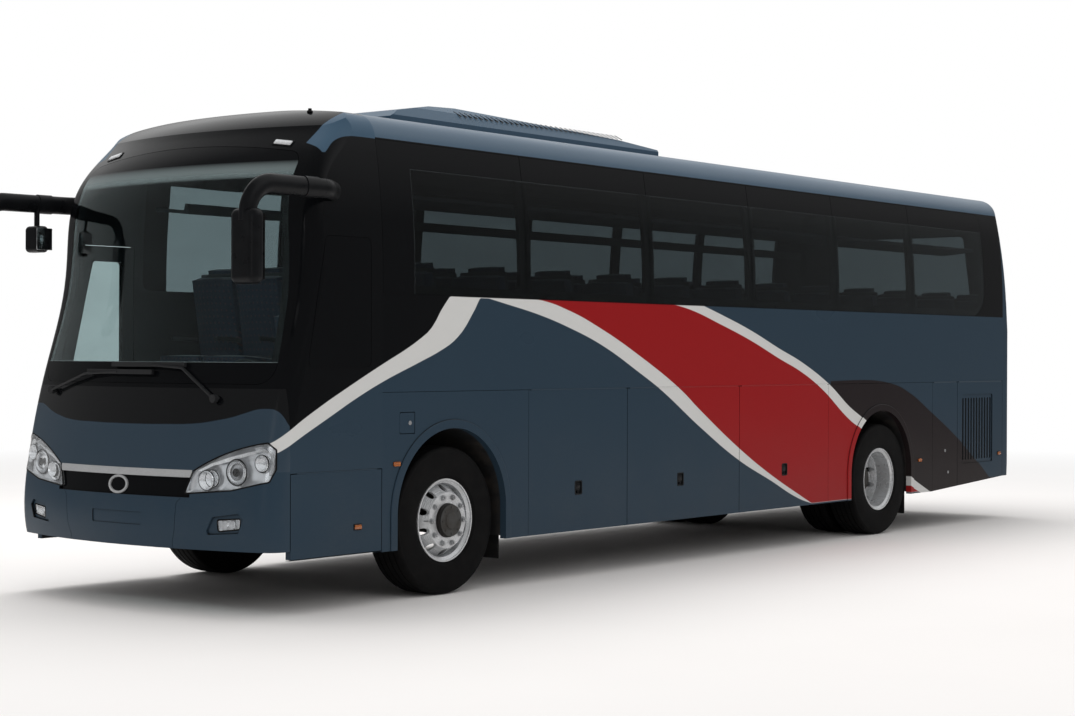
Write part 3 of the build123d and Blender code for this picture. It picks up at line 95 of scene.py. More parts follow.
# ---------------------------------------------------------------- node trees
class Tree:
    """A node tree being written, with short calls for the nodes that recur."""

    def __init__(self, tree: bpy.types.NodeTree) -> None:
        """Takes the tree to write in."""
        self.tree = tree

    def add(self, kind: str, **settings: object) -> bpy.types.Node:
        """Adds a node.

        Args:
            kind: the node's type name, without ShaderNode in front.
            settings: the node's own properties.

        Returns:
            The node.
        """
        node = self.tree.nodes.new("ShaderNode" + kind)
        for key, value in settings.items():
            setattr(node, key, value)
        return node

    def put(self, socket: bpy.types.NodeSocket, value: object) -> None:
        """Feeds a socket with another node's output or a constant.

        Args:
            socket: the input that is fed.
            value: an output's socket or a constant.
        """
        if isinstance(value, bpy.types.NodeSocket):
            self.tree.links.new(value, socket)
        else:
            socket.default_value = value

    def maths(self, kind: str, first: object, second: object = 0.0, third: object = 0.0) -> Socket:
        """One Math node.

        Args:
            kind: the operation.
            first: a socket or a number.
            second: a socket or a number.
            third: a socket or a number.

        Returns:
            The result's socket.
        """
        node = self.add("Math", operation=kind)
        for socket, value in zip(node.inputs, (first, second, third)):
            self.put(socket, value)
        return node.outputs[0]

    def times(self, first: object, second: object) -> Socket:
        """The product of two values."""
        return self.maths("MULTIPLY", first, second)

    def plus(self, first: object, second: object) -> Socket:
        """The sum of two values."""
        return self.maths("ADD", first, second)

    def minus(self, first: object, second: object) -> Socket:
        """The first value less the second."""
        return self.maths("SUBTRACT", first, second)

    def larger(self, first: object, second: object) -> Socket:
        """The larger of two values."""
        return self.maths("MAXIMUM", first, second)

    def rest(self, mask: object) -> Socket:
        """What a mask leaves: 1 where it is 0."""
        return self.minus(1.0, mask)

    def above(self, value: object, edge: object, soft: float = 0.002) -> Socket:
        """A mask that is 1 where a value is over an edge, with a soft step.

        Args:
            value: the socket that is compared.
            edge: the socket or number it is compared with.
            soft: half the step's width.

        Returns:
            The mask.
        """
        gap = self.minus(value, edge)
        return self.span(gap, -soft, soft)

    def span(self, value: object, low: float, high: float, start: float = 0.0,
             end: float = 1.0) -> Socket:
        """Maps a value from one range to another, held at the ends.

        Args:
            value: the socket that is mapped.
            low: the value that gives start.
            high: the value that gives end.
            start: what low gives.
            end: what high gives.

        Returns:
            The mapped value.
        """
        node = self.add("MapRange", clamp=True)
        for socket, given in zip(node.inputs[:5], (value, low, high, start, end)):
            self.put(socket, given)
        return node.outputs[0]

    def mix(self, share: object, first: object, second: object) -> Socket:
        """Mixes two colours.

        Args:
            share: how much of the second.
            first: the colour at 0.
            second: the colour at 1.

        Returns:
            The mixed colour.
        """
        node = self.add("Mix", data_type="RGBA")
        self.put(node.inputs[0], share)
        self.put(node.inputs[6], first)
        self.put(node.inputs[7], second)
        return node.outputs[2]

    def noise(self, place: object, scale: float, detail: float = 2.0, rough: float = 0.5) -> Socket:
        """A noise texture's value, 0 to 1.

        Args:
            place: the coordinates.
            scale: its scale.
            detail: its detail.
            rough: its roughness.

        Returns:
            The value.
        """
        node = self.add("TexNoise")
        self.feed(node, Vector=place, Scale=scale, Detail=detail, Roughness=rough)
        return node.outputs[0]

    def stretched(self, place: object, scale: Spot) -> Socket:
        """Coordinates scaled by axis, for grain that runs one way.

        Args:
            place: the coordinates.
            scale: the scale along each axis.

        Returns:
            The scaled coordinates.
        """
        node = self.add("Mapping", vector_type="POINT")
        self.feed(node, Vector=place, Scale=scale)
        return node.outputs[0]

    def parts(self, place: object) -> tuple[Socket, Socket, Socket]:
        """The three numbers of a vector.

        Args:
            place: the vector.

        Returns:
            Its x, y and z.
        """
        node = self.add("SeparateXYZ")
        self.put(node.inputs[0], place)
        return node.outputs[0], node.outputs[1], node.outputs[2]

    def vector(self, first: object, second: object, third: object) -> Socket:
        """A vector of three numbers.

        Args:
            first: its x.
            second: its y.
            third: its z.

        Returns:
            The vector.
        """
        node = self.add("CombineXYZ")
        for socket, value in zip(node.inputs, (first, second, third)):
            self.put(socket, value)
        return node.outputs[0]

    def curve(self, value: object, points: Line, low: float, high: float, tall: float) -> Socket:
        """A drawn line as a function, level beyond its ends.

        Args:
            value: the socket it is read at.
            points: the line's points.
            low: the lowest value it is read at.
            high: the highest value it is read at.
            tall: the line's highest value.

        Returns:
            The line's height there.
        """
        node = self.add("FloatCurve")
        line = node.mapping.curves[0]
        for number, (across, up) in enumerate(sorted(points)):
            place = ((across - low) / (high - low), up / tall)
            if number < 2:
                line.points[number].location = place
            else:
                line.points.new(*place)
        for point in line.points:
            point.handle_type = "AUTO_CLAMPED"
        node.mapping.extend = "HORIZONTAL"
        node.mapping.update()
        self.put(node.inputs["Value"], self.span(value, low, high))
        return self.times(node.outputs[0], tall)

    def bump(self, height: object, strength: float, distance: float) -> Socket:
        """A Bump node's normal.

        Args:
            height: the height's socket.
            strength: its strength.
            distance: its depth in metres.

        Returns:
            The normal.
        """
        node = self.add("Bump")
        self.feed(node, Strength=strength, Distance=distance, Height=height)
        return node.outputs[0]

    def place(self) -> Socket:
        """The object's own coordinates, which are the row frame's."""
        return self.add("TexCoord").outputs["Object"]

    def feed(self, node: bpy.types.Node, **inputs: object) -> None:
        """Feeds a node's named inputs, with _ for a blank in a name."""
        for name, value in inputs.items():
            self.put(node.inputs[name.replace("_", " ")], value)

    def use(self, effect: str, **inputs: object) -> bpy.types.Node:
        """Adds a shared effect.

        Args:
            effect: the effect's name.
            inputs: what its inputs take, with _ for a blank.

        Returns:
            The group's node.
        """
        node = self.add("Group", node_tree=Effect.made[effect])
        self.feed(node, **inputs)
        return node

    def layered(self, share: object, under: bpy.types.Node, over: bpy.types.Node) -> None:
        """Ends the tree with two shaders, mixed by the second one's share.

        Args:
            share: how much of the second.
            under: the first shader.
            over: the second shader.
        """
        blend = self.add("MixShader")
        self.put(blend.inputs[0], share)
        self.put(blend.inputs[1], under.outputs[0])
        self.put(blend.inputs[2], over.outputs[0])
        self.feed(self.tree.nodes["Material Output"], Surface=blend.outputs[0])


@dataclass(frozen=True)
class Port:
    """One socket of an effect."""

    label: str
    kind: str = "NodeSocketFloat"
    start: float = 0.0


class Effect:
    """A shared effect as a node group, made once and used by many finishes."""

    made: dict[str, bpy.types.NodeTree] = {}

    def __init__(self, name: str, inputs: tuple[Port, ...], outputs: tuple[Port, ...]) -> None:
        """Makes the empty group with its sockets.

        Args:
            name: the effect's name.
            inputs: what goes in.
            outputs: what comes out.
        """
        self.group = bpy.data.node_groups.new(name, "ShaderNodeTree")
        for direction, ports in (("INPUT", inputs), ("OUTPUT", outputs)):
            for port in ports:
                socket = self.group.interface.new_socket(port.label, in_out=direction, socket_type=port.kind)
                if port.kind == "NodeSocketFloat" and direction == "INPUT":
                    socket.default_value = port.start
        self.tree = Tree(self.group)
        self.given = self.group.nodes.new("NodeGroupInput")
        self.result = self.group.nodes.new("NodeGroupOutput")
        Effect.made[name] = self.group

    def take(self, label: str) -> Socket:
        """One of the group's inputs, inside it."""
        return self.given.outputs[label]

    def give(self, label: str, value: Socket) -> None:
        """Sends a result out of the group."""
        self.tree.put(self.result.inputs[label], value)


VECTOR = "NodeSocketVector"
COLOUR = "NodeSocketColor"

UPPER_EDGE: Line = (
    (5.215, 1.09), (5.059, 1.205), (4.804, 1.342), (4.523, 1.475), (4.171, 1.633), (3.98, 1.715),
    (3.826, 1.791), (3.722, 1.854), (3.596, 2.002), (3.5, 2.102),
)
LOWER_EDGE: Line = (
    (5.215, 1.022), (5.059, 1.108), (4.711, 1.275), (4.426, 1.408), (4.171, 1.512), (3.825, 1.633),
    (3.616, 1.709), (3.455, 1.787), (3.248, 1.994), (3.171, 2.103),
)
WHITE_EDGE: Line = (
    (3.171, 2.103), (2.956, 2.065), (2.487, 1.979), (2.119, 1.888), (1.736, 1.77), (1.201, 1.544),
    (0.922, 1.415), (0.341, 1.096), (-0.275, 0.792), (-0.759, 0.608), (-1.267, 0.416), (-1.476, 0.365),
)
RED_EDGE: Line = (
    (2.899, 2.102), (2.488, 2.09), (2.12, 2.016), (1.737, 1.893), (1.202, 1.678), (0.636, 1.412),
    (0.342, 1.236), (-0.274, 0.893), (-0.759, 0.66), (-1.476, 0.365),
)
SECOND_WHITE_EDGE: Line = (
    (0.856, 2.112), (0.495, 2.059), (0.045, 1.947), (-0.425, 1.817), (-0.917, 1.656), (-1.257, 1.55),
    (-1.608, 1.404), (-2.156, 1.095), (-2.383, 0.997), (-3.252, 0.473), (-3.626, 0.328),
)
REAR_BLUE_EDGE: Line = (
    (0.348, 2.107), (0.046, 2.031), (-0.425, 1.903), (-0.916, 1.743), (-1.257, 1.638), (-1.769, 1.43),
    (-2.155, 1.215), (-2.458, 1.079), (-3.292, 0.548), (-3.795, 0.339),
)
BROWN_EDGE: Line = (
    (-1.823, 1.457), (-2.341, 1.462), (-2.982, 1.419), (-3.326, 1.328), (-3.745, 1.146), (-4.178, 0.948),
    (-4.741, 0.647), (-5.091, 0.427),
)
MASK_EDGE: Line = (
    (0.0, 1.219), (0.33, 1.222), (0.66, 1.235), (0.8, 1.257), (0.9, 1.277), (1.0, 1.308), (1.09, 1.332),
    (1.143, 1.333), (1.19, 1.327), (1.233, 1.289), (1.263, 1.212),
)
COVE_EDGE: Line = ((4.2, 3.14), (4.234, 3.14), (4.43, 3.138), (4.572, 3.1), (4.67, 3.012))
DRAWN_REACH = 6.0  # the edges are drawn this far fore and aft of the middle
DRAWN_TOP = 3.5  # and up to this height
BROWN_START_X = -1.8  # the brown sweep lies behind this
STRIPE_END_X = 3.0  # the front's white stripe lies ahead of this
BAND_END_X = 5.205  # and ends here on the front panel
CORE_REAR_X = -4.0  # faces that look towards the line from here
CORE_FRONT_X = 3.5  # to here, at the height below, look into the body
CORE_Z = 2.2

SLATE = display(43, 60, 74)
WHITE = display(214, 214, 212)
RED = display(150, 19, 22)
BROWN = display(31, 23, 24)
ROOF = display(64, 88, 108)
BLACK = display(12, 13, 15)
TRIM = display(46, 47, 49)
FLAKE = display(150, 165, 178)
ROAD_DUST = display(124, 117, 106)
# painted shade: the near-black that gaps and tight corners are darkened to
PAINTED_GAP_SHADE = display(3, 3, 4)


def livery_effect() -> bpy.types.NodeTree:
    """The stripes of the two sides as colours by place, with a mask for the black front.

    Returns:
        The group: Place in; Colour, Black and Stripe out.
    """
    effect = Effect("side_stripes", (Port("Place", VECTOR),),
                    (Port("Colour", COLOUR), Port("Black"), Port("Stripe")))
    tree = effect.tree
    x, _, z = tree.parts(effect.take("Place"))

    def over(edge: Line) -> Socket:
        """A mask of all that lies over an edge."""
        return tree.above(z, tree.curve(x, edge, -DRAWN_REACH, DRAWN_REACH, DRAWN_TOP))

    colour: object = SLATE
    for edge, paint in ((WHITE_EDGE, WHITE), (RED_EDGE, RED), (SECOND_WHITE_EDGE, WHITE)):
        colour = tree.mix(over(edge), colour, paint)
    rear = over(REAR_BLUE_EDGE)
    colour = tree.mix(rear, colour, SLATE)
    under = tree.rest(over(BROWN_EDGE))
    behind = tree.rest(tree.above(x, BROWN_START_X))
    colour = tree.mix(tree.times(tree.times(rear, under), behind), colour, BROWN)
    stripe = tree.times(over(LOWER_EDGE), tree.above(x, STRIPE_END_X))
    effect.give("Colour", tree.mix(stripe, colour, WHITE))
    effect.give("Black", over(UPPER_EDGE))
    effect.give("Stripe", stripe)
    return effect.group


def inner_effect() -> bpy.types.NodeTree:
    """A mask of the faces that look into the body, from the surface's own direction and place.

    Returns:
        The group: Place and Facing in; Inner out.
    """
    effect = Effect("inner_faces", (Port("Place", VECTOR), Port("Facing", VECTOR)), (Port("Inner"),))
    tree = effect.tree
    x, y, z = tree.parts(effect.take("Place"))
    along = tree.minus(x, tree.larger(CORE_REAR_X, tree.maths("MINIMUM", x, CORE_FRONT_X)))
    node = tree.add("VectorMath", operation="DOT_PRODUCT")
    tree.put(node.inputs[0], effect.take("Facing"))
    tree.put(node.inputs[1], tree.vector(along, y, tree.minus(z, CORE_Z)))
    effect.give("Inner", tree.rest(tree.above(node.outputs["Value"], -0.01, 0.01)))
    return effect.group


def film_effect() -> bpy.types.NodeTree:
    """A thin road film that thickens towards the ground, with a drifting patchiness.

    Returns:
        The group: Place and Reach in; Film out.
    """
    effect = Effect("road_film", (Port("Place", VECTOR), Port("Reach", start=1.2)), (Port("Film"),))
    tree = effect.tree
    _, _, z = tree.parts(effect.take("Place"))
    low = tree.span(tree.maths("DIVIDE", z, effect.take("Reach")), 0.25, 1.0, 1.0, 0.0)
    patch = tree.span(tree.noise(effect.take("Place"), 2.3, 4.0, 0.6), 0.35, 0.75)
    streaks = tree.noise(tree.stretched(effect.take("Place"), (6, 6, 26)), 3.0, 3.0)
    fine = tree.span(streaks, 0.4, 0.7, 0.4, 1.0)
    effect.give("Film", tree.times(tree.times(low, patch), fine))
    return effect.group


def grain_effect() -> bpy.types.NodeTree:
    """Moulded grain: small pebbles over a broader unevenness, as a height.

    Returns:
        The group: Place and Size in; Height and Patch out.
    """
    effect = Effect("moulded_grain", (Port("Place", VECTOR), Port("Size", start=700.0)),
                    (Port("Height"), Port("Patch")))
    tree = effect.tree
    cell = tree.add("TexVoronoi", feature="SMOOTH_F1")
    tree.feed(cell, Vector=effect.take("Place"), Scale=effect.take("Size"))
    broad = tree.noise(effect.take("Place"), 9.0, 4.0)
    effect.give("Height", tree.plus(tree.times(cell.outputs["Distance"], -0.7), tree.times(broad, 0.3)))
    effect.give("Patch", broad)
    return effect.group


def peel_effect() -> bpy.types.NodeTree:
    """The faint ripple of sprayed paint on a large panel, as a height.

    Returns:
        The group: Place in; Height and Sheet out.
    """
    effect = Effect("paint_ripple", (Port("Place", VECTOR),), (Port("Height"), Port("Sheet")))
    tree = effect.tree
    fine = tree.noise(effect.take("Place"), 240.0, 1.0)
    sheet = tree.noise(tree.stretched(effect.take("Place"), (0.6, 1.0, 1.0)), 1.6, 2.0)
    effect.give("Height", tree.plus(tree.times(fine, 0.05), tree.times(sheet, 1.0)))
    effect.give("Sheet", sheet)
    return effect.group


def weave_effect() -> bpy.types.NodeTree:
    """A plush weave: crossed threads with a soft, uneven pile.

    Returns:
        The group: Place and Pitch in; Height, Thread and Pile out.
    """
    effect = Effect("plush_weave", (Port("Place", VECTOR), Port("Pitch", start=260.0)),
                    (Port("Height"), Port("Thread"), Port("Pile")))
    tree = effect.tree
    x, y, z = tree.parts(effect.take("Place"))
    pitch = effect.take("Pitch")
    one = tree.maths("SINE", tree.times(tree.plus(y, tree.times(x, 0.35)), pitch))
    two = tree.maths("SINE", tree.times(tree.plus(z, tree.times(x, 0.65)), pitch))
    thread = tree.span(tree.times(one, two), -1.0, 1.0)
    pile = tree.noise(effect.take("Place"), 55.0, 4.0, 0.65)
    effect.give("Height", tree.plus(tree.times(thread, 0.6), tree.times(pile, 0.5)))
    effect.give("Thread", thread)
    effect.give("Pile", pile)
    return effect.group


def radius_effect() -> bpy.types.NodeTree:
    """The distance from a wheel's centre line, for wheels whose axles lie across the body.

    Returns:
        The group: Place, Axle and Height in; Radius and Turn out.
    """
    effect = Effect("wheel_radius", (Port("Place", VECTOR), Port("Axle"), Port("Height")),
                    (Port("Radius"), Port("Turn")))
    tree = effect.tree
    x, _, z = tree.parts(effect.take("Place"))
    across = tree.minus(x, effect.take("Axle"))
    up = tree.minus(z, effect.take("Height"))
    square = tree.plus(tree.times(across, across), tree.times(up, up))
    effect.give("Radius", tree.maths("SQRT", square))
    effect.give("Turn", tree.maths("ARCTAN2", up, across))
    return effect.group


# ---------------------------------------------------------------- finishes
class Finish:
    """What every finish shares: one material per finish, made when first asked for."""

    made: dict[str, bpy.types.Material] = {}
    label: str

    def write(self, tree: Tree, shader: bpy.types.Node) -> None:
        """Writes the finish's nodes.

        Args:
            tree: the material's tree.
            shader: its Principled shader.
        """
        raise NotImplementedError

    def material(self) -> bpy.types.Material:
        """The finish's material.

        Returns:
            The material, made on the first call.
        """
        if self.label not in Finish.made:
            found = bpy.data.materials.new(self.label)
            found.use_nodes = True
            Finish.made[self.label] = found
            self.write(Tree(found.node_tree), found.node_tree.nodes["Principled BSDF"])
        return Finish.made[self.label]

    def dress(self, thing: bpy.types.Object) -> None:
        """Puts the finish on the whole of an object."""
        thing.data.materials.clear()
        thing.data.materials.append(self.material())


class Zone(Enum):
    """Which part of the livery a panel carries."""

    SIDE = "side"
    SHELL = "shell"
    FRONT = "front"
    TAIL = "tail"
    PLAIN = "plain"
    ROOF = "roof"


@dataclass(frozen=True)
class CoachPaint(Finish):
    """Gloss two-pack paint in the livery's colours, with grey trim on the faces that look inwards."""

    label: str
    zone: Zone
    roughness: float = 0.3
    level: float = 0.1
    # how far the painted shade in gaps and tight corners reaches, in metres
    shade_reach: float = 0.02
    cove_run: tuple[float, float] = (4.2, 4.7)
    cove_tip: tuple[float, float] = (4.687, 1.013)
    cove_spread: float = 0.14
    cove_end_x: float = 4.684

    def pattern(self, tree: Tree, place: Socket) -> tuple[object, object]:
        """The zone's colours.

        Args:
            tree: the material's tree.
            place: the object's coordinates.

        Returns:
            The colour and a mask of gloss black.
        """
        x, y, z = tree.parts(place)
        wide = tree.maths("ABSOLUTE", y)
        if self.zone == Zone.PLAIN:
            return SLATE, 0.0
        if self.zone == Zone.ROOF:
            return ROOF, 0.0
        stripes = tree.use("side_stripes", Place=place)
        if self.zone == Zone.SIDE:
            dark = stripes.outputs["Black"]
            return tree.mix(dark, stripes.outputs["Colour"], BLACK), dark
        if self.zone == Zone.TAIL:
            low = tree.rest(tree.above(z, SILL_Z))
            return tree.mix(low, SLATE, stripes.outputs["Colour"]), 0.0
        if self.zone == Zone.FRONT:
            band = tree.minus(stripes.outputs["Stripe"], stripes.outputs["Black"])
            band = tree.times(band, tree.rest(tree.above(x, BAND_END_X)))
            band = tree.larger(band, 0.0)
            dark = tree.above(z, tree.curve(wide, MASK_EDGE, 0.0, 1.3, DRAWN_TOP))
            return tree.mix(dark, tree.mix(band, SLATE, WHITE), BLACK), dark
        dark = stripes.outputs["Black"]
        cove = tree.above(z, tree.curve(x, COVE_EDGE, *self.cove_run, DRAWN_TOP))
        tip_x, tip_y = self.cove_tip
        edge = tree.plus(tip_y, tree.times(tree.minus(tip_x, x), self.cove_spread))
        cove = tree.times(cove, tree.above(wide, edge))
        cove = tree.times(cove, tree.rest(tree.above(x, self.cove_end_x)))
        colour = tree.mix(dark, stripes.outputs["Colour"], BLACK)
        return tree.mix(cove, colour, ROOF), tree.times(dark, tree.rest(cove))

    def write(self, tree: Tree, shader: bpy.types.Node) -> None:
        """Writes the paint: pattern, faint flake, road film, painted shade in gaps and tight corners, inner
        trim and the sprayed ripple.

        Args:
            tree: the material's tree.
            shader: its Principled shader.
        """
        spot = tree.add("TexCoord")
        place = spot.outputs["Object"]
        colour, dark = self.pattern(tree, place)
        flake = tree.span(tree.noise(place, 1400.0, 0.0), 0.55, 0.8, 0.0, 0.05)
        colour = tree.mix(tree.times(flake, tree.rest(dark)), colour, FLAKE)
        film = tree.use("road_film", Place=place).outputs["Film"]
        colour = tree.mix(tree.times(film, 0.10), colour, ROAD_DUST)
        # Painted shade: an ambient-occlusion mask darkens the colour to near-black in panel gaps, creases and
        # tight corners.
        gap = tree.add("AmbientOcclusion", samples=6)
        gap.inputs["Distance"].default_value = self.shade_reach
        painted_shade = tree.span(gap.outputs["AO"], 0.35, 0.8, 1.0, 0.0)
        inner = tree.use("inner_faces", Place=place, Facing=spot.outputs["Normal"]).outputs["Inner"]
        colour = tree.mix(painted_shade, tree.mix(inner, colour, TRIM), PAINTED_GAP_SHADE)
        ripple = tree.use("paint_ripple", Place=place)
        rough = tree.span(ripple.outputs["Sheet"], 0.3, 0.7, self.roughness - 0.03, self.roughness + 0.04)
        rough = tree.maths("MULTIPLY_ADD", dark, -0.18, rough) if dark != 0.0 else rough
        rough = tree.larger(tree.maths("MULTIPLY_ADD", film, 0.25, rough), tree.times(inner, 0.7))
        normal = tree.bump(ripple.outputs["Height"], 0.12, 0.0006)
        tree.feed(shader, Base_Color=colour, Roughness=rough, Normal=normal, Specular_IOR_Level=self.level)


@dataclass(frozen=True)
class Glass(Finish):
    """Sheet glass: tinted, with a black printed band between two heights, ahead of a place or above one."""

    label: str
    tint: Colour
    bend: float = 1.2
    frit: tuple[float, float] = (-9.0, -9.0)
    frit_ahead: float = 9.0
    shade: float = 9.0

    def write(self, tree: Tree, shader: bpy.types.Node) -> None:
        """Writes the glass, which lets a lamp's light through tinted but unbent.

        Args:
            tree: the material's tree.
            shader: its Principled shader.
        """
        place = tree.place()
        x, _, z = tree.parts(place)
        smear = tree.noise(tree.stretched(place, (1.0, 1.0, 3.0)), 2.0, 3.0)
        frit = tree.times(tree.above(z, self.frit[0]), tree.rest(tree.above(z, self.frit[1])))
        frit = tree.larger(frit, tree.above(x, self.frit_ahead))
        frit = tree.larger(frit, tree.above(z, self.shade, 0.06))
        colour = tree.mix(tree.span(smear, 0.3, 0.7), self.tint, shaded(self.tint, 0.94))
        tree.feed(shader, Base_Color=tree.mix(frit, colour, BLACK), Roughness=0.0, IOR=self.bend,
                  Transmission_Weight=tree.rest(frit))
        clear = tree.add("BsdfTransparent")
        through = (*(math.sqrt(c) for c in self.tint[:3]), 1.0)
        tree.feed(clear, Color=tree.mix(frit, through, BLACK))
        tree.layered(tree.add("LightPath").outputs["Is Shadow Ray"], shader, clear)


@dataclass(frozen=True)
class Plastic(Finish):
    """Moulded plastic with a pebbled grain."""

    label: str
    colour: Colour
    roughness: float = 0.55
    grain: float = 700.0
    depth: float = 0.25
    level: float = 0.3

    def write(self, tree: Tree, shader: bpy.types.Node) -> None:
        """Writes the plastic: its grain, a slight unevenness of colour and of gloss.

        Args:
            tree: the material's tree.
            shader: its Principled shader.
        """
        place = tree.place()
        grain = tree.use("moulded_grain", Place=place, Size=self.grain)
        patch = grain.outputs["Patch"]
        colour = tree.mix(tree.span(patch, 0.4, 0.8, 0.0, 0.5), self.colour, shaded(self.colour, 1.5, 0.003))
        rough = tree.span(patch, 0.3, 0.7, self.roughness - 0.06, self.roughness + 0.08)
        normal = tree.bump(grain.outputs["Height"], self.depth, 0.0006)
        tree.feed(shader, Base_Color=colour, Roughness=rough, Normal=normal, Specular_IOR_Level=self.level)


@dataclass(frozen=True)
class GrilleFinish(Finish):
    """The grille's gloss black, with brushed brightwork on the bar above it and on its oval ring."""

    label: str
    bar_z: float = 0.8838
    middle_z: float = 0.8195
    outer: tuple[float, float] = (0.0940, 0.0630)
    inner: tuple[float, float] = (0.0770, 0.0460)

    def inside(self, tree: Tree, y: object, z: object, radii: tuple[float, float]) -> Socket:
        """A mask of one oval about the ring's middle.

        Args:
            tree: the material's tree.
            y: the place across.
            z: the place up.
            radii: the oval's half width and half height.

        Returns:
            The mask.
        """
        across = tree.maths("DIVIDE", y, radii[0])
        up = tree.maths("DIVIDE", tree.minus(z, self.middle_z), radii[1])
        reach = tree.plus(tree.times(across, across), tree.times(up, up))
        return tree.rest(tree.above(reach, 1.0, 0.01))

    def write(self, tree: Tree, shader: bpy.types.Node) -> None:
        """Writes the two finishes and the brushing along the bar.

        Args:
            tree: the material's tree.
            shader: its Principled shader.
        """
        place = tree.place()
        _, y, z = tree.parts(place)
        ring = tree.minus(self.inside(tree, y, z, self.outer), self.inside(tree, y, z, self.inner))
        bright = tree.larger(tree.above(z, self.bar_z, 0.0004), ring)
        brushed = tree.noise(tree.stretched(place, (40.0, 2.0, 260.0)), 5.0, 3.0)
        metal = tree.mix(tree.span(brushed, 0.3, 0.7), display(205, 206, 207), display(168, 170, 172))
        rough = tree.larger(tree.times(tree.span(brushed, 0.3, 0.7, 0.2, 0.3), bright), 0.18)
        tree.feed(shader, Base_Color=tree.mix(bright, BLACK, metal), Metallic=tree.times(bright, 0.3),
                  Roughness=rough, Normal=tree.bump(brushed, 0.03, 0.0005), Specular_IOR_Level=0.1)


@dataclass(frozen=True)
class Metal(Finish):
    """Bare or painted metal, brushed, cast or plated."""

    label: str
    colour: Colour
    metallic: float = 1.0
    roughness: float = 0.3
    grain: Spot = (30.0, 30.0, 30.0)
    depth: float = 0.08
    dirt: float = 0.0

    def write(self, tree: Tree, shader: bpy.types.Node) -> None:
        """Writes the metal: the grain of its surface, and dirt in its low places.

        Args:
            tree: the material's tree.
            shader: its Principled shader.
        """
        place = tree.place()
        grain = tree.noise(tree.stretched(place, self.grain), 6.0, 5.0, 0.6)
        patch = tree.noise(place, 7.0, 4.0, 0.6)
        dirty = tree.span(patch, 0.45, 0.7, 0.0, self.dirt)
        colour = tree.mix(tree.span(grain, 0.3, 0.7), self.colour, shaded(self.colour, 0.86))
        rough = tree.span(grain, 0.3, 0.7, self.roughness - 0.05, self.roughness + 0.08)
        rough = tree.maths("MULTIPLY_ADD", dirty, 0.4, rough)
        tree.feed(shader, Base_Color=tree.mix(dirty, colour, display(66, 58, 50)), Metallic=self.metallic,
                  Roughness=rough, Normal=tree.bump(grain, self.depth, 0.001))


@dataclass(frozen=True)
class Rubber(Finish):
    """Matt black rubber with a dusty bloom."""

    label: str
    colour: Colour = display(15, 15, 16)
    dust: float = 0.15

    def write(self, tree: Tree, shader: bpy.types.Node) -> None:
        """Writes the rubber.

        Args:
            tree: the material's tree.
            shader: its Principled shader.
        """
        place = tree.place()
        patch = tree.noise(place, 11.0, 5.0, 0.65)
        fine = tree.noise(place, 420.0, 2.0)
        colour = tree.mix(tree.span(patch, 0.45, 0.8, 0.0, self.dust), self.colour, display(88, 83, 76))
        tree.feed(shader, Base_Color=colour, Roughness=tree.span(patch, 0.3, 0.7, 0.66, 0.82),
                  Normal=tree.bump(fine, 0.3, 0.0006), Specular_IOR_Level=0.3)


@dataclass(frozen=True)
class Wheel(Finish):
    """A tyre on a bright disc wheel with a dark hub, told apart by the distance from the axle."""

    label: str
    axle: float
    disc: Colour = display(206, 208, 210)
    hub: float = 0.121
    bead: float = 0.2925

    def write(self, tree: Tree, shader: bpy.types.Node) -> None:
        """Writes the rings on the tyre's side, the disc's spun grain and the greasy hub.

        Args:
            tree: the material's tree.
            shader: its Principled shader.
        """
        place = tree.place()
        ring = tree.use("wheel_radius", Place=place, Axle=self.axle, Height=WHEEL_Z)
        radius, turn = ring.outputs["Radius"], ring.outputs["Turn"]
        rubber = tree.above(radius, self.bead, 0.0008)
        hub = tree.rest(tree.above(radius, self.hub, 0.001))
        patch = tree.noise(place, 9.0, 5.0, 0.65)
        groove = tree.vector(tree.times(radius, 900.0), tree.times(turn, 3.0), 0.0)
        spun = tree.noise(groove, 1.0, 2.0)
        dirty = tree.span(patch, 0.48, 0.75, 0.0, 0.35)
        disc = tree.mix(dirty, self.disc, display(120, 116, 110))
        disc = tree.mix(hub, disc, display(46, 44, 43))
        bloom = tree.mix(tree.span(patch, 0.4, 0.8, 0.0, 0.22), display(9, 9, 10), display(40, 38, 35))
        metal = tree.times(tree.rest(rubber), tree.span(hub, 0.0, 1.0, 0.45, 0.4))
        rough = tree.span(spun, 0.3, 0.7, 0.2, 0.34)
        rough = tree.maths("MULTIPLY_ADD", hub, 0.2, tree.maths("MULTIPLY_ADD", dirty, 0.4, rough))
        rough = tree.larger(rough, tree.times(rubber, 0.76))
        wave = tree.span(tree.maths("SINE", tree.times(radius, 620.0)), 0.2, 1.0)
        side = tree.times(tree.times(wave, rubber), tree.span(radius, 0.44, 0.46, 1.0, 0.0))
        height = tree.plus(tree.times(side, 0.6), tree.times(spun, 0.12))
        tree.feed(shader, Base_Color=tree.mix(rubber, disc, bloom), Metallic=metal, Roughness=rough,
                  Normal=tree.bump(height, 0.35, 0.0014), Specular_IOR_Level=0.12)


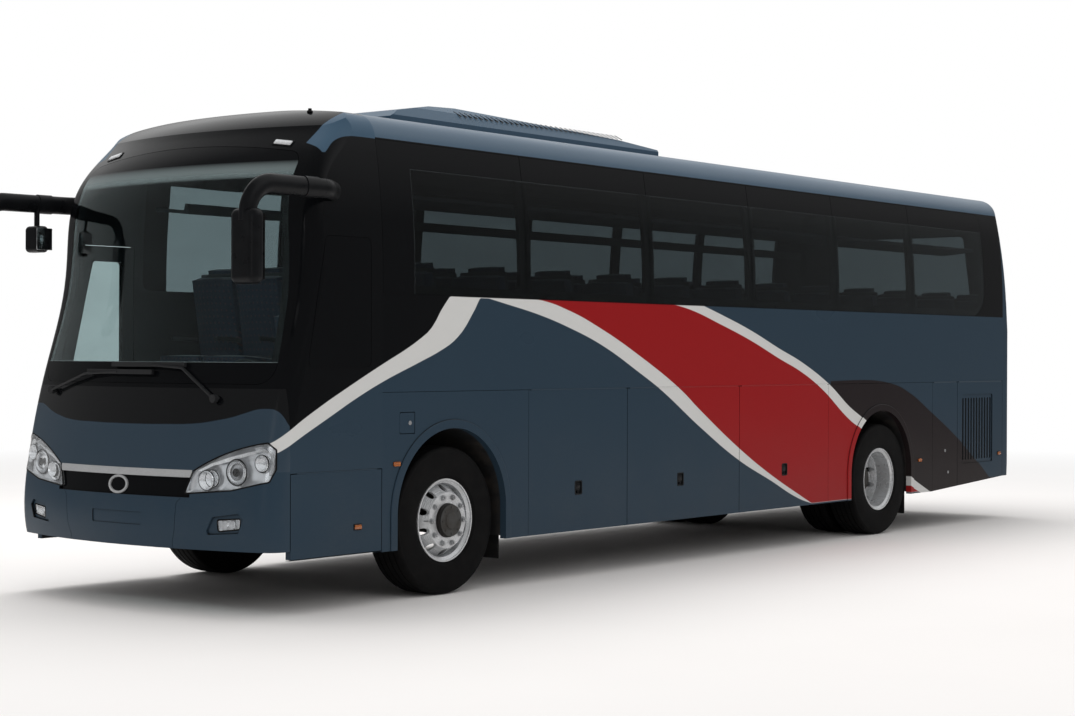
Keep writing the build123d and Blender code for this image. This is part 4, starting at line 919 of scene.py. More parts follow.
@dataclass(frozen=True)
class Plush(Finish):
    """Seat plush with a small two-colour figure, its threads and its sheen."""

    label: str
    colour: Colour = display(44, 52, 70)
    figure: Colour = display(92, 60, 66)
    repeat: float = 70.0

    def write(self, tree: Tree, shader: bpy.types.Node) -> None:
        """Writes the weave, the repeated lozenge and the pile's light edge.

        Args:
            tree: the material's tree.
            shader: its Principled shader.
        """
        place = tree.place()
        weave = tree.use("plush_weave", Place=place, Pitch=900.0)
        x, y, z = tree.parts(place)
        one = tree.maths("SINE", tree.times(tree.plus(y, z), self.repeat))
        two = tree.maths("SINE", tree.times(tree.plus(tree.minus(y, z), x), self.repeat))
        lozenge = tree.above(tree.times(one, two), 0.72, 0.06)
        colour = tree.mix(tree.times(lozenge, 0.8), self.colour, self.figure)
        pile = weave.outputs["Pile"]
        pale = tree.mix(tree.span(pile, 0.4, 0.75, 0.0, 0.35), colour, display(96, 102, 118))
        colour = tree.mix(tree.span(weave.outputs["Thread"], 0.0, 1.0, 0.25, 0.0), pale, BLACK)
        tree.feed(shader, Base_Color=colour, Roughness=tree.span(pile, 0.3, 0.7, 0.82, 0.95),
                  Normal=tree.bump(weave.outputs["Height"], 0.4, 0.001), Sheen_Weight=0.35,
                  Sheen_Roughness=0.45, Specular_IOR_Level=0.2)


@dataclass(frozen=True)
class Lens(Finish):
    """A moulded lamp lens with ribs, of one colour or of two by height."""

    label: str
    low: Colour
    high: Colour
    split: float = 9.0
    ribs: float = 420.0
    through: float = 0.35

    def write(self, tree: Tree, shader: bpy.types.Node) -> None:
        """Writes the lens: its colour, the ribs behind its smooth face and a little depth.

        Args:
            tree: the material's tree.
            shader: its Principled shader.
        """
        place = tree.place()
        _, y, z = tree.parts(place)
        rib = tree.maths("SINE", tree.times(z, self.ribs))
        cell = tree.times(rib, tree.maths("SINE", tree.times(y, self.ribs)))
        colour = tree.mix(tree.above(z, self.split), self.low, self.high)
        colour = tree.mix(tree.span(cell, -1.0, 1.0, 0.35, 0.0), colour, BLACK)
        tree.feed(shader, Base_Color=colour, Roughness=0.12, Transmission_Weight=self.through,
                  Coat_Weight=0.5, Coat_Roughness=0.03, Normal=tree.bump(cell, 0.25, 0.001))


@dataclass(frozen=True)
class FloorCover(Finish):
    """Non-slip floor covering with fine speckle."""

    label: str
    colour: Colour = display(62, 63, 66)

    def write(self, tree: Tree, shader: bpy.types.Node) -> None:
        """Writes the speckle, scuffs and the studded relief.

        Args:
            tree: the material's tree.
            shader: its Principled shader.
        """
        place = tree.place()
        speck = tree.noise(place, 650.0, 0.0)
        scuff = tree.noise(tree.stretched(place, (1.0, 4.0, 1.0)), 5.0, 5.0, 0.65)
        colour = tree.mix(tree.span(speck, 0.62, 0.7), self.colour, display(150, 150, 150))
        colour = tree.mix(tree.span(scuff, 0.5, 0.75, 0.0, 0.4), colour, display(58, 56, 54))
        tree.feed(shader, Base_Color=colour, Roughness=tree.span(scuff, 0.3, 0.7, 0.55, 0.75),
                  Normal=tree.bump(speck, 0.2, 0.0008))


class Finishes:
    """Every finish of the coach."""

    side = CoachPaint("paint_side", Zone.SIDE)
    shell = CoachPaint("paint_front_shell", Zone.SHELL, 0.3, 0.12)
    front = CoachPaint("paint_front_panel", Zone.FRONT, 0.3, 0.35)
    bumper = CoachPaint("paint_bumper", Zone.PLAIN, 0.3, 0.12)
    tail = CoachPaint("paint_tail", Zone.TAIL)
    roof = CoachPaint("paint_roof", Zone.ROOF, 0.3, 0.4)
    roof_unit = CoachPaint("paint_roof_unit", Zone.ROOF, 0.36, 0.25)
    saloon_glass = Glass("glass_saloon", (0.17, 0.2, 0.21, 1.0), frit=(2.955, 9.0), frit_ahead=3.88)
    screen_glass = Glass("glass_windscreen", (0.58, 0.70, 0.71, 1.0), frit=(1.47, 1.63), shade=2.90)
    door_glass = Glass("glass_door", (0.46, 0.52, 0.52, 1.0))
    clear_lens = Glass("lens_clear", (0.96, 0.97, 0.98, 1.0), bend=1.4)
    black_plastic = Plastic("plastic_black", display(30, 31, 33), 0.5)
    mirror_black = Plastic("plastic_mirror", display(17, 18, 20), 0.3, 900.0, 0.08, 0.12)
    dash_plastic = Plastic("plastic_dash", display(38, 40, 44), 0.6, 480.0)
    grey_plastic = Plastic("plastic_trim", display(58, 59, 61), 0.6, 520.0)
    gloss_black = Plastic("plastic_gloss_black", display(14, 15, 17), 0.2, 900.0, 0.02, 0.1)
    grille = GrilleFinish("grille_black_and_bright")
    bright = Metal("metal_bright", display(220, 222, 224), 0.75, 0.16, (8.0, 90.0, 8.0), 0.03)
    mirror = Metal("metal_mirror", display(235, 238, 240), 1.0, 0.06, (3.0, 3.0, 3.0), 0.0)
    reflector = Metal("metal_reflector", display(196, 199, 202), 0.6, 0.2, (20.0, 20.0, 20.0), 0.1)
    lamp_strip = Metal("metal_lamp_strip", display(226, 228, 230), 0.3, 0.25, (8.0, 60.0, 8.0), 0.03)
    chassis = Metal("metal_chassis", display(34, 34, 35), 0.2, 0.55, (20.0, 20.0, 20.0), 0.15, 0.5)
    cast = Metal("metal_cast", display(78, 78, 77), 0.5, 0.6, (60.0, 60.0, 60.0), 0.5, 0.6)
    zinc = Metal("metal_zinc", display(176, 178, 180), 0.6, 0.35, (30.0, 30.0, 30.0), 0.08, 0.3)
    rubber = Rubber("rubber_black")
    front_wheel = Wheel("wheel_front", FRONT_AXLE_X)
    rear_wheel = Wheel("wheel_rear", REAR_AXLE_X)
    plush = Plush("plush_seat")
    floor = FloorCover("floor_cover")
    rear_lens = Lens("lens_rear", display(150, 16, 18), display(196, 104, 20), 1.30)
    amber = Lens("lens_amber", display(206, 110, 24), display(206, 110, 24))
    seal = Plastic("plastic_seal", display(11, 11, 12), 0.6, 900.0, 0.1, 0.15)


# ---------------------------------------------------------------- modelling
SHARP_ANGLE = 0.6  # edges that turn more than this, in radians, are rounded off


def turned(middle: Spot, axis: str = "Z", angle: float = 0.0) -> Matrix:
    """A place: moved to a spot after a turn.

    Args:
        middle: where the shape's origin goes.
        axis: the axis of the turn.
        angle: the turn in degrees.

    Returns:
        The place's matrix.
    """
    return Matrix.Translation(middle) @ Matrix.Rotation(math.radians(angle), 4, axis)


def facing(middle: Spot, way: Spot) -> Matrix:
    """A place whose own Z axis points a given way.

    Args:
        middle: where the shape's origin goes.
        way: where its Z axis points.

    Returns:
        The place's matrix.
    """
    return Matrix.Translation(middle) @ Vector(way).to_track_quat("Z", "Y").to_matrix().to_4x4()


def upright(place: Matrix) -> Matrix:
    """A place on a side wall, turned about its own Z axis so that its X axis lies along the coach."""
    level = abs((place.to_3x3() @ Vector((1, 0, 0))).x) > 0.5
    return place if level else place @ Matrix.Rotation(math.pi / 2, 4, "Z")


def at(x: float, y: float, z: float) -> Matrix:
    """A place without a turn."""
    return Matrix.Translation((x, y, z))


def twist(angle: float, axis: str = "Z") -> Matrix:
    """A turn in radians."""
    return Matrix.Rotation(angle, 4, axis)


def verts_of(geom: list) -> list[bmesh.types.BMVert]:
    """The vertices among an operator's results."""
    return [g for g in geom if isinstance(g, bmesh.types.BMVert)]


class Block(NamedTuple):
    """A block's three sizes, the width of its rounding and the rounding's steps."""

    x: float
    y: float
    z: float
    bevel: float = 0.0
    segments: int = 2


class Bar(NamedTuple):
    """A bar's foot radius, height, number of sides, upper radius if it tapers, and rounding."""

    radius: float
    tall: float
    sides: int = 24
    top: float | None = None
    bevel: float = 0.0


class Model:
    """A mesh being modelled with bmesh operators, which ends as one piece of the coach."""

    def __init__(self, start: bmesh.types.BMesh | None = None) -> None:
        """Starts empty, or with a mesh that is handed over."""
        self.bm = bmesh.new() if start is None else start

    def fresh(self, before: set) -> list[bmesh.types.BMVert]:
        """The vertices made since some others were there."""
        return [v for v in self.bm.verts if v not in before]

    def insert(self, mesh: bpy.types.Mesh, place: Matrix) -> None:
        """Adds a copy of a finished mesh at a place.

        Args:
            mesh: the mesh that is copied.
            place: where it goes.
        """
        before = set(self.bm.verts)
        self.bm.from_mesh(mesh)
        bmesh.ops.transform(self.bm, matrix=place, verts=self.fresh(before))

    def round_off(self, verts: list, width: float, segments: int = 2) -> None:
        """Bevels every sharp edge between some vertices.

        Args:
            verts: the vertices.
            width: the rounding's width.
            segments: the rounding's steps.
        """
        chosen = set(verts)
        edges = [e for e in self.bm.edges if e.verts[0] in chosen and e.verts[1] in chosen
                 and len(e.link_faces) == 2 and e.calc_face_angle(0) > SHARP_ANGLE]
        bmesh.ops.bevel(self.bm, geom=edges, offset=width, offset_type="OFFSET", segments=segments,
                        profile=0.5, affect="EDGES", clamp_overlap=True, material=-1)

    def box(self, block: Block, place: Matrix) -> None:
        """A block with rounded edges.

        Args:
            block: its sizes.
            place: where its middle goes.
        """
        before = set(self.bm.verts)
        scale = Matrix.Diagonal((block.x, block.y, block.z, 1.0))
        made = bmesh.ops.create_cube(self.bm, size=1.0, matrix=scale)["verts"]
        if block.bevel:
            self.round_off(made, block.bevel, block.segments)
        bmesh.ops.transform(self.bm, matrix=place, verts=self.fresh(before))

    def drum(self, bar: Bar, place: Matrix) -> None:
        """A round, hexagonal or tapered bar standing on its place.

        Args:
            bar: its sizes.
            place: where it stands.
        """
        before = set(self.bm.verts)
        top = bar.radius if bar.top is None else bar.top
        made = bmesh.ops.create_cone(self.bm, cap_ends=True, segments=bar.sides, radius1=bar.radius,
                                     radius2=top, depth=bar.tall, matrix=at(0, 0, bar.tall / 2))["verts"]
        if bar.bevel:
            self.round_off(made, bar.bevel, 2)
        bmesh.ops.transform(self.bm, matrix=place, verts=self.fresh(before))

    def lathe(self, profile: Line, place: Matrix, steps: int = 40) -> None:
        """An outline turned round its place's Z axis.

        Args:
            profile: radius and height of each point; closed if it ends where it began.
            place: where it goes.
            steps: the steps of the turn.
        """
        before = set(self.bm.verts)
        closed = profile[0] == profile[-1]
        points = profile[:-1] if closed else profile
        verts = [self.bm.verts.new((radius, 0, tall)) for radius, tall in points]
        pairs = list(zip(verts, verts[1:])) + ([(verts[-1], verts[0])] if closed else [])
        edges = [self.bm.edges.new(pair) for pair in pairs]
        bmesh.ops.spin(self.bm, geom=verts + edges, cent=(0, 0, 0), axis=(0, 0, 1), angle=math.tau,
                       steps=steps, use_merge=True, use_duplicate=False)
        bmesh.ops.remove_doubles(self.bm, verts=self.fresh(before), dist=1e-6)
        bmesh.ops.transform(self.bm, matrix=place, verts=self.fresh(before))

    def tray(self, outline: Line, tall: float, rim: float, sunk: float, place: Matrix) -> None:
        """A flat outline raised to a thickness and hollowed inside a rim.

        Args:
            outline: its corners in its place's XY plane.
            tall: its thickness.
            rim: the rim's width.
            sunk: how deep the hollow is.
            place: where it goes.
        """
        before = set(self.bm.verts)
        face = self.bm.faces.new([self.bm.verts.new((a, b, 0)) for a, b in outline])
        made = bmesh.ops.extrude_face_region(self.bm, geom=[face])["geom"]
        top = [g for g in made if isinstance(g, bmesh.types.BMFace)]
        bmesh.ops.translate(self.bm, verts=verts_of(made), vec=(0, 0, tall))
        bmesh.ops.inset_region(self.bm, faces=top, thickness=rim, depth=0.0)
        hollow = bmesh.ops.extrude_face_region(self.bm, geom=top)["geom"]
        bmesh.ops.delete(self.bm, geom=[f for f in top if f.is_valid], context="FACES")
        bmesh.ops.translate(self.bm, verts=verts_of(hollow), vec=(0, 0, -sunk))
        bmesh.ops.transform(self.bm, matrix=place, verts=self.fresh(before))

    def hoop(self, radius: float, wire: float, place: Matrix, steps: int = 40, sides: int = 8) -> None:
        """A ring of round wire in its place's XY plane.

        Args:
            radius: the ring's radius.
            wire: the wire's radius.
            place: where it goes.
            steps: the steps round the ring.
            sides: the sides of the wire.
        """
        around = [(radius + wire * math.cos(math.tau * n / sides), wire * math.sin(math.tau * n / sides))
                  for n in range(sides)]
        self.lathe((*around, around[0]), place, steps)

    def mirrored(self) -> None:
        """Adds the other side's copy of everything made so far."""
        geom = [*self.bm.verts, *self.bm.edges, *self.bm.faces]
        copied = bmesh.ops.duplicate(self.bm, geom=geom)["geom"]
        bmesh.ops.scale(self.bm, vec=(1, -1, 1), verts=verts_of(copied))

    def piece(self, name: str, finish: Finish, body: str, slot: str,
              smooth: float = 38.0) -> bpy.types.Object:
        """Ends the model as a piece of the coach.

        Args:
            name: the piece's name.
            finish: its finish.
            body: the body that it rides on.
            slot: the record's material slot for the piece; not used.
            smooth: the greatest angle in degrees that is shaded round.

        Returns:
            The piece.
        """
        bmesh.ops.recalc_face_normals(self.bm, faces=self.bm.faces)
        for face in self.bm.faces:
            face.smooth = True
        mesh = bpy.data.meshes.new(name)
        self.bm.to_mesh(mesh)
        self.bm.free()
        mesh.set_sharp_from_angle(angle=math.radians(smooth))
        thing = shown(name, mesh)
        finish.dress(thing)
        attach(thing, body)
        log.info("piece %s: %d faces, on %s", name, len(mesh.polygons), body)
        return thing


SIDES = (("left", 1.0), ("right", -1.0))


@dataclass
class FrontLamps:
    """The head and fog lamps: clear lenses over bowls, a projector and a bright strip in a closed housing."""

    skin: float = 0.003
    wall: float = 0.0015
    seal: float = 0.007
    bead: float = 0.0055
    fewest: int = 6
    set_back: float = 0.010
    face_slope: float = 0.12
    usual_x: float = 5.25
    bulb_depth: float = 0.028
    projector_depth: float = 0.03
    bezel_depth: float = 0.012
    bezel_wire: float = 0.0045
    sense: Spot = (1.0, 0.12, 0.0)
    bowls: tuple[Spot, ...] = ((0.757, 0.868, 0.058), (0.800, 0.880, 0.050), (1.145, 0.985, 0.050))
    projector: Spot = (0.975, 0.925, 0.076)
    brow: Line = ((0.690, 0.928), (0.780, 0.974), (0.911, 1.018), (1.040, 1.052), (1.150, 1.078),
                  (1.205, 1.050), (1.222, 0.985), (1.214, 0.915))
    lamp_middle: Spot = (0.0, 0.96, 0.90)
    strip: float = 0.026
    strip_thick: float = 0.006
    fog: Spot = (0.947, 0.590, 0.034)

    def __post_init__(self) -> None:
        """Takes the lamps' faces for finding depths."""
        solid = self.source()
        self.faces = BVHTree.FromBMesh(solid)
        solid.free()

    def source(self) -> bmesh.types.BMesh:
        """The lamps' CAD solids as one merged mesh.

        Returns:
            The mesh, to be freed by its user.
        """
        bm = bmesh.new()
        bm.from_mesh(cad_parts["front_lamps"].data)
        bmesh.ops.remove_doubles(bm, verts=bm.verts, dist=1e-5)
        return bm

    def depth(self, y: float, z: float) -> float:
        """Where the lens's outer face lies.

        Args:
            y: the place across.
            z: the place up.

        Returns:
            The face's x, or a usual one beside the lens.
        """
        hit = self.faces.ray_cast(Vector((8.0, y, z)), Vector((-1.0, 0.0, 0.0)))[0]
        return self.usual_x if hit is None else hit.x

    def part_of(self, ahead: bool) -> Model:
        """The lamps' faces that look ahead, or all the others.

        Args:
            ahead: whether the faces that look ahead are kept.

        Returns:
            The model of those faces.
        """
        model = Model(self.source())
        away = [f for f in model.bm.faces if (f.normal.x >= self.face_slope) != ahead]
        bmesh.ops.delete(model.bm, geom=away, context="FACES")
        return model

    def lens(self) -> None:
        """The clear outer skins of all four lamps."""
        model = self.part_of(True)
        every = model.bm.faces[:]
        for face in bmesh.ops.inset_region(model.bm, faces=every, thickness=self.seal, depth=0.0)["faces"]:
            face.material_index = 1
        made = bmesh.ops.extrude_face_region(model.bm, geom=model.bm.faces[:])["geom"]
        bmesh.ops.translate(model.bm, verts=verts_of(made), vec=(-self.skin, 0, 0))
        lens = model.piece("front_lamp_lenses", Finishes.clear_lens, "coach_body", "lamp_lens")
        lens.data.materials.append(Finishes.seal.material())
        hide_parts("front_lamps")

    def housing(self) -> None:
        """The bright walls and backs behind the lenses."""
        model = self.part_of(False)
        bmesh.ops.solidify(model.bm, geom=model.bm.faces[:], thickness=self.wall)
        model.piece("front_lamp_housings", Finishes.reflector, "coach_body", "bright_trim", 30)

    def outline(self) -> None:
        """The rubber bead round every lens."""
        bm = self.part_of(True).bm
        bmesh.ops.remove_doubles(bm, verts=bm.verts, dist=0.004)
        line = bpy.data.curves.new("lamp_bead", "CURVE")
        line.dimensions = "3D"
        line.bevel_depth = self.bead
        line.bevel_resolution = 2
        left = dict.fromkeys(e for e in bm.edges if e.is_boundary)
        while left:
            edge = next(iter(left))
            del left[edge]
            first, last = edge.verts
            loop = [first, last]
            while True:
                ahead = next((e for e in last.link_edges if e in left), None)
                if ahead is None:
                    break
                del left[ahead]
                last = ahead.other_vert(last)
                if last == first:
                    break
                loop.append(last)
            if len(loop) < self.fewest:
                continue
            spline = line.splines.new("POLY")
            spline.points.add(len(loop) - 1)
            spline.use_cyclic_u = True
            for point, vert in zip(spline.points, loop):
                point.co = (vert.co.x - self.bead * 0.6, vert.co.y, vert.co.z, 1.0)
        bm.free()
        holder = shown("lamp_bead", line)
        seen = holder.evaluated_get(bpy.context.evaluated_depsgraph_get())
        mesh = bpy.data.meshes.new_from_object(seen)
        bpy.data.objects.remove(holder)
        model = Model()
        model.bm.from_mesh(mesh)
        model.piece("front_lamp_beads", Finishes.seal, "coach_body", "rubber", 60)

    def bowl(self, model: Model, y: float, z: float, radius: float, facets: int) -> None:
        """One faceted reflector bowl with its bulb.

        Args:
            model: the model it goes into.
            y: its middle across.
            z: its middle up.
            radius: its radius.
            facets: how many facets it has.
        """
        x = self.depth(y, z) - self.set_back - self.bulb_depth
        place = facing((x, y, z), self.sense)
        inner = ((0.0, 0.002), (0.35, 0.003), (0.7, 0.009), (0.93, 0.02), (1.0, 0.024), (1.06, 0.022),
                 (1.06, 0.0), (0.0, 0.0))
        model.lathe(tuple((radius * share, tall) for share, tall in inner), place, facets)
        model.drum(Bar(radius * 0.16, 0.012, 12, radius * 0.12, 0.001), place)

    def inside(self) -> None:
        """The bowls, the projector and its ring on both sides."""
        model = Model()
        for y, z, radius in self.bowls:
            self.bowl(model, y, z, radius, 18)
        y, z, radius = self.projector
        x = self.depth(y, z) - self.set_back - self.projector_depth
        place = facing((x, y, z), (1.0, 0.1, 0.0))
        rim = ((0.68, 0.0), (0.72, 0.022), (0.8, 0.027), (0.88, 0.018), (0.94, 0.026), (1.0, 0.02),
               (1.02, 0.0), (0.68, 0.0))
        model.lathe(tuple((radius * share, tall) for share, tall in rim), place, 48)
        self.bowl(model, *self.fog, 14)
        model.mirrored()
        dark = Model()
        for ring_y, ring_z, ring in (*self.bowls, self.projector):
            ring_x = self.depth(ring_y, ring_z) - self.set_back - self.bezel_depth
            spot = facing((ring_x, ring_y, ring_z), self.sense)
            dark.hoop(ring * 1.1, self.bezel_wire, spot, 40, 6)
        dark.drum(Bar(radius * 0.36, 0.004, 28), place @ at(0, 0, 0.026))
        dark.mirrored()
        dark.piece("front_lamp_bezels", Finishes.gloss_black, "coach_body", "black_plastic")
        model.piece("front_lamp_bowls", Finishes.bright, "coach_body", "bright_trim", 20)
        ball = Model()
        dome = tuple((radius * 0.66 * math.sin(math.radians(a)), 0.002 + 0.026 * math.cos(math.radians(a)))
                     for a in range(0, 91, 10))
        ball.lathe((*dome, (0.0, 0.002)), place, 36)
        ball.mirrored()
        ball.piece("projector_lenses", Finishes.clear_lens, "coach_body", "lamp_lens")

    def strips(self) -> None:
        """The bright strip under each lamp's upper edge, which turns down at the outer end."""
        model = Model()
        outer = [Vector((self.depth(y, z) - self.set_back, y, z)) for y, z in self.brow]
        middle = Vector(self.lamp_middle)
        verts = [model.bm.verts.new(p) for p in outer]
        edges = [model.bm.edges.new(pair) for pair in zip(verts, verts[1:])]
        made = bmesh.ops.extrude_edge_only(model.bm, edges=edges)["geom"]
        for vert in verts_of(made):
            inward = middle - vert.co
            inward.x = 0.0
            vert.co += inward.normalized() * self.strip + Vector((-self.strip_thick, 0, 0))
        bmesh.ops.subdivide_edges(model.bm, edges=[e for e in model.bm.edges if e.is_boundary], cuts=1)
        bmesh.ops.triangulate(model.bm, faces=[f for f in model.bm.faces if len(f.verts) > 4])
        made = bmesh.ops.extrude_face_region(model.bm, geom=model.bm.faces[:])["geom"]
        bmesh.ops.translate(model.bm, verts=verts_of(made), vec=(-self.strip_thick, 0, 0))
        model.mirrored()
        model.piece("headlamp_strips", Finishes.lamp_strip, "coach_body", "bright_trim", 30)

    def build(self) -> None:
        """Makes all the pieces of the front lamps."""
        self.lens()
        self.outline()
        self.housing()
        self.inside()
        self.strips()


@dataclass
class WheelDetails:
    """What is bolted to each wheel: nuts on their studs, the hub's cap and bolts, and the valve."""

    nuts: int = 10
    nut_circle: float = 0.167
    first_nut: float = 0.02
    sink: float = 0.002
    washer: Bar = Bar(0.022, 0.005, 16, 0.021)
    nut: Bar = Bar(0.0175, 0.021, 6, 0.0172, 0.0012)
    stud: Bar = Bar(0.0105, 0.030, 10, 0.0095)
    hub_bolts: int = 8
    hub_circle: float = 0.092
    hub_bolt: Bar = Bar(0.009, 0.007, 6, 0.0088, 0.0006)
    valve_place: Spot = (0.255, 0.008, 0.01)
    valve_stem: Bar = Bar(0.006, 0.034, 10, 0.005)
    valve_cap: Bar = Bar(0.0075, 0.012, 8, 0.007, 0.0008)
    front_faces: tuple[float, float] = (1.224, 1.260)
    rear_faces: tuple[float, float] = (0.937, 1.053)

    def side(self, name: str, axle: float, face_y: float, hub_y: float, way: float, body: str) -> None:
        """The details of one wheel.

        Args:
            name: the wheel's name.
            axle: its axle's x.
            face_y: the disc face's distance from the middle.
            hub_y: the hub end's distance from the middle.
            way: 1 on the left and -1 on the right.
            body: the body that turns with it.
        """
        nuts = Model()
        for n in range(self.nuts):
            angle = math.tau * n / self.nuts + self.first_nut
            x = axle + self.nut_circle * math.cos(angle)
            z = WHEEL_Z + self.nut_circle * math.sin(angle)
            place = facing((x, way * (face_y - self.sink), z), (0, way, 0))
            nuts.drum(self.washer, place)
            nuts.drum(self.nut, place @ twist(angle))
            nuts.drum(self.stud, place)
        nuts.piece(f"{name}_nuts", Finishes.zinc, body, "wheel_set")
        hub = Model()
        place = facing((axle, way * (hub_y - self.sink), WHEEL_Z), (0, way, 0))
        cap = ((0.0, 0.0), (0.112, 0.0), (0.112, 0.004), (0.105, 0.007), (0.078, 0.007), (0.074, 0.004),
               (0.060, 0.004), (0.056, 0.009), (0.0, 0.010))
        hub.lathe(cap, place, 36)
        for n in range(self.hub_bolts):
            angle = math.tau * n / self.hub_bolts
            spot = place @ at(self.hub_circle * math.cos(angle), self.hub_circle * math.sin(angle), 0.005)
            hub.drum(self.hub_bolt, spot)
        hub.piece(f"{name}_hub_cap", Finishes.cast, body, "cast_metal")
        valve = Model()
        ahead, out, up = self.valve_place
        spot = facing((axle + ahead, way * (face_y + out), WHEEL_Z + up), (-0.3, way, 0))
        valve.drum(self.valve_stem, spot)
        valve.drum(self.valve_cap, spot @ at(0, 0, 0.026))
        valve.piece(f"{name}_valve", Finishes.zinc, body, "wheel_set")

    def build(self) -> None:
        """Dresses all four wheel positions."""
        for name, way in SIDES:
            self.side(f"{name}_front", FRONT_AXLE_X, *self.front_faces, way, f"{name}_front_wheel")
            self.side(f"{name}_rear", REAR_AXLE_X, *self.rear_faces, way, f"{name}_rear_wheels")


@dataclass
class FlapFittings:
    """The luggage flaps' latch handles, the battery door's key locks and the amber markers on the flaps."""

    pocket: tuple[float, float] = (0.094, 0.106)
    depth: float = 0.024
    corner: float = 0.014
    rim: float = 0.005
    sunk: float = 0.021
    handles: tuple[tuple[str, float, float], ...] = (
        ("luggage_door_1", 2.004, 0.680), ("luggage_door_2", 0.624, 0.680), ("luggage_door_3", -1.001, 0.690))
    keys: tuple[tuple[float, float], ...] = ((-4.071, 0.747), (-4.138, 0.530))
    paddle: Block = Block(0.066, 0.052, 0.012, 0.005, 3)
    grip: Block = Block(0.050, 0.010, 0.010, 0.003)
    barrel: Bar = Bar(0.010, 0.013, 20, 0.0095, 0.001)
    keyway: Block = Block(0.0022, 0.009, 0.002)
    slot: Block = Block(0.002, 0.010, 0.0012)
    marker: Block = Block(0.066, 0.030, 0.009, 0.004, 3)
    marker_foot: Block = Block(0.078, 0.042, 0.004, 0.0018)
    rear_marker: tuple[float, float] = (-5.292, 0.678)
    front_marker: tuple[float, float] = (4.445, 0.540)
    fuel_key: tuple[float, float] = (3.925, 1.217)

    def handle(self, flap: str, x: float, z: float, name: str, way: float) -> None:
        """One pocket's liner, paddle and lock.

        Args:
            flap: the flap's name without its side.
            x: the pocket's middle along the coach.
            z: its middle up.
            name: the side's name.
            way: 1 on the left and -1 on the right.
        """
        model = Model()
        back = upright(facing((x, way * (SIDE_Y - self.depth + 0.001), z), (0, way, 0)))
        half_w, half_h = self.pocket[0] / 2 - 0.001, self.pocket[1] / 2 - 0.001
        cut_w, cut_h = half_w - self.corner, half_h - self.corner
        outline = ((-cut_w, -half_h), (cut_w, -half_h), (half_w, -cut_h), (half_w, cut_h), (cut_w, half_h),
                   (-cut_w, half_h), (-half_w, cut_h), (-half_w, -cut_h))
        model.tray(outline, self.depth + 0.0005, self.rim, self.sunk, back)
        model.piece(f"{name}_{flap}_pocket", Finishes.black_plastic, f"{name}_{flap}", "black_plastic")
        paddle = Model()
        paddle.box(self.paddle, back @ at(0, 0.014, 0.012))
        paddle.box(self.grip, back @ at(0, -0.012, 0.013))
        paddle.drum(self.barrel, back @ at(0, -0.032, 0.003))
        paddle.box(self.keyway, back @ at(0, -0.032, 0.0165))
        paddle.piece(f"{name}_{flap}_paddle", Finishes.mirror_black, f"{name}_{flap}", "black_plastic")

    def lock(self, x: float, z: float, name: str, way: float, body: str, number: int) -> None:
        """One round key lock, just proud of a panel.

        Args:
            x: its middle along the coach.
            z: its middle up.
            name: the side's name.
            way: 1 on the left and -1 on the right.
            body: the body that it rides on.
            number: its number on that side.
        """
        model = Model()
        place = facing((x, way * (SIDE_Y - 0.001), z), (0, way, 0))
        rim = ((0.0, 0.0), (0.0155, 0.0), (0.0155, 0.002), (0.0135, 0.0045), (0.0105, 0.0045), (0.010, 0.003),
               (0.0, 0.003))
        model.lathe(rim, place, 28)
        model.box(self.slot, place @ at(0, 0, 0.0034))
        model.piece(f"{name}_key_lock_{number}", Finishes.zinc, body, "bright_trim")

    def amber(self, x: float, z: float, name: str, way: float, body: str, number: int) -> None:
        """One amber side marker on a black foot.

        Args:
            x: its middle along the coach.
            z: its middle up.
            name: the side's name.
            way: 1 on the left and -1 on the right.
            body: the body that it rides on.
            number: its number on that side.
        """
        place = upright(facing((x, way * (SIDE_Y + 0.0005), z), (0, way, 0)))
        foot = Model()
        foot.box(self.marker_foot, place @ at(0, 0, 0.001))
        foot.piece(f"{name}_marker_foot_{number}", Finishes.rubber, body, "rubber")
        lens = Model()
        lens.box(self.marker, place @ at(0, 0, 0.006))
        lens.piece(f"{name}_marker_lens_{number}", Finishes.amber, body, "rear_lens")

    def build(self) -> None:
        """Makes the fittings of both sides."""
        for name, way in SIDES:
            for flap, x, z in self.handles:
                self.handle(flap, x, z, name, way)
            for number, (x, z) in enumerate(self.keys, 1):
                self.lock(x, z, name, way, f"{name}_battery_door", number)
            self.amber(*self.rear_marker, name, way, f"{name}_radiator_door", 2)
        self.amber(*self.front_marker, "left", 1.0, "driver_flap", 1)
        self.lock(*self.fuel_key, "left", 1.0, "fuel_flap", 3)


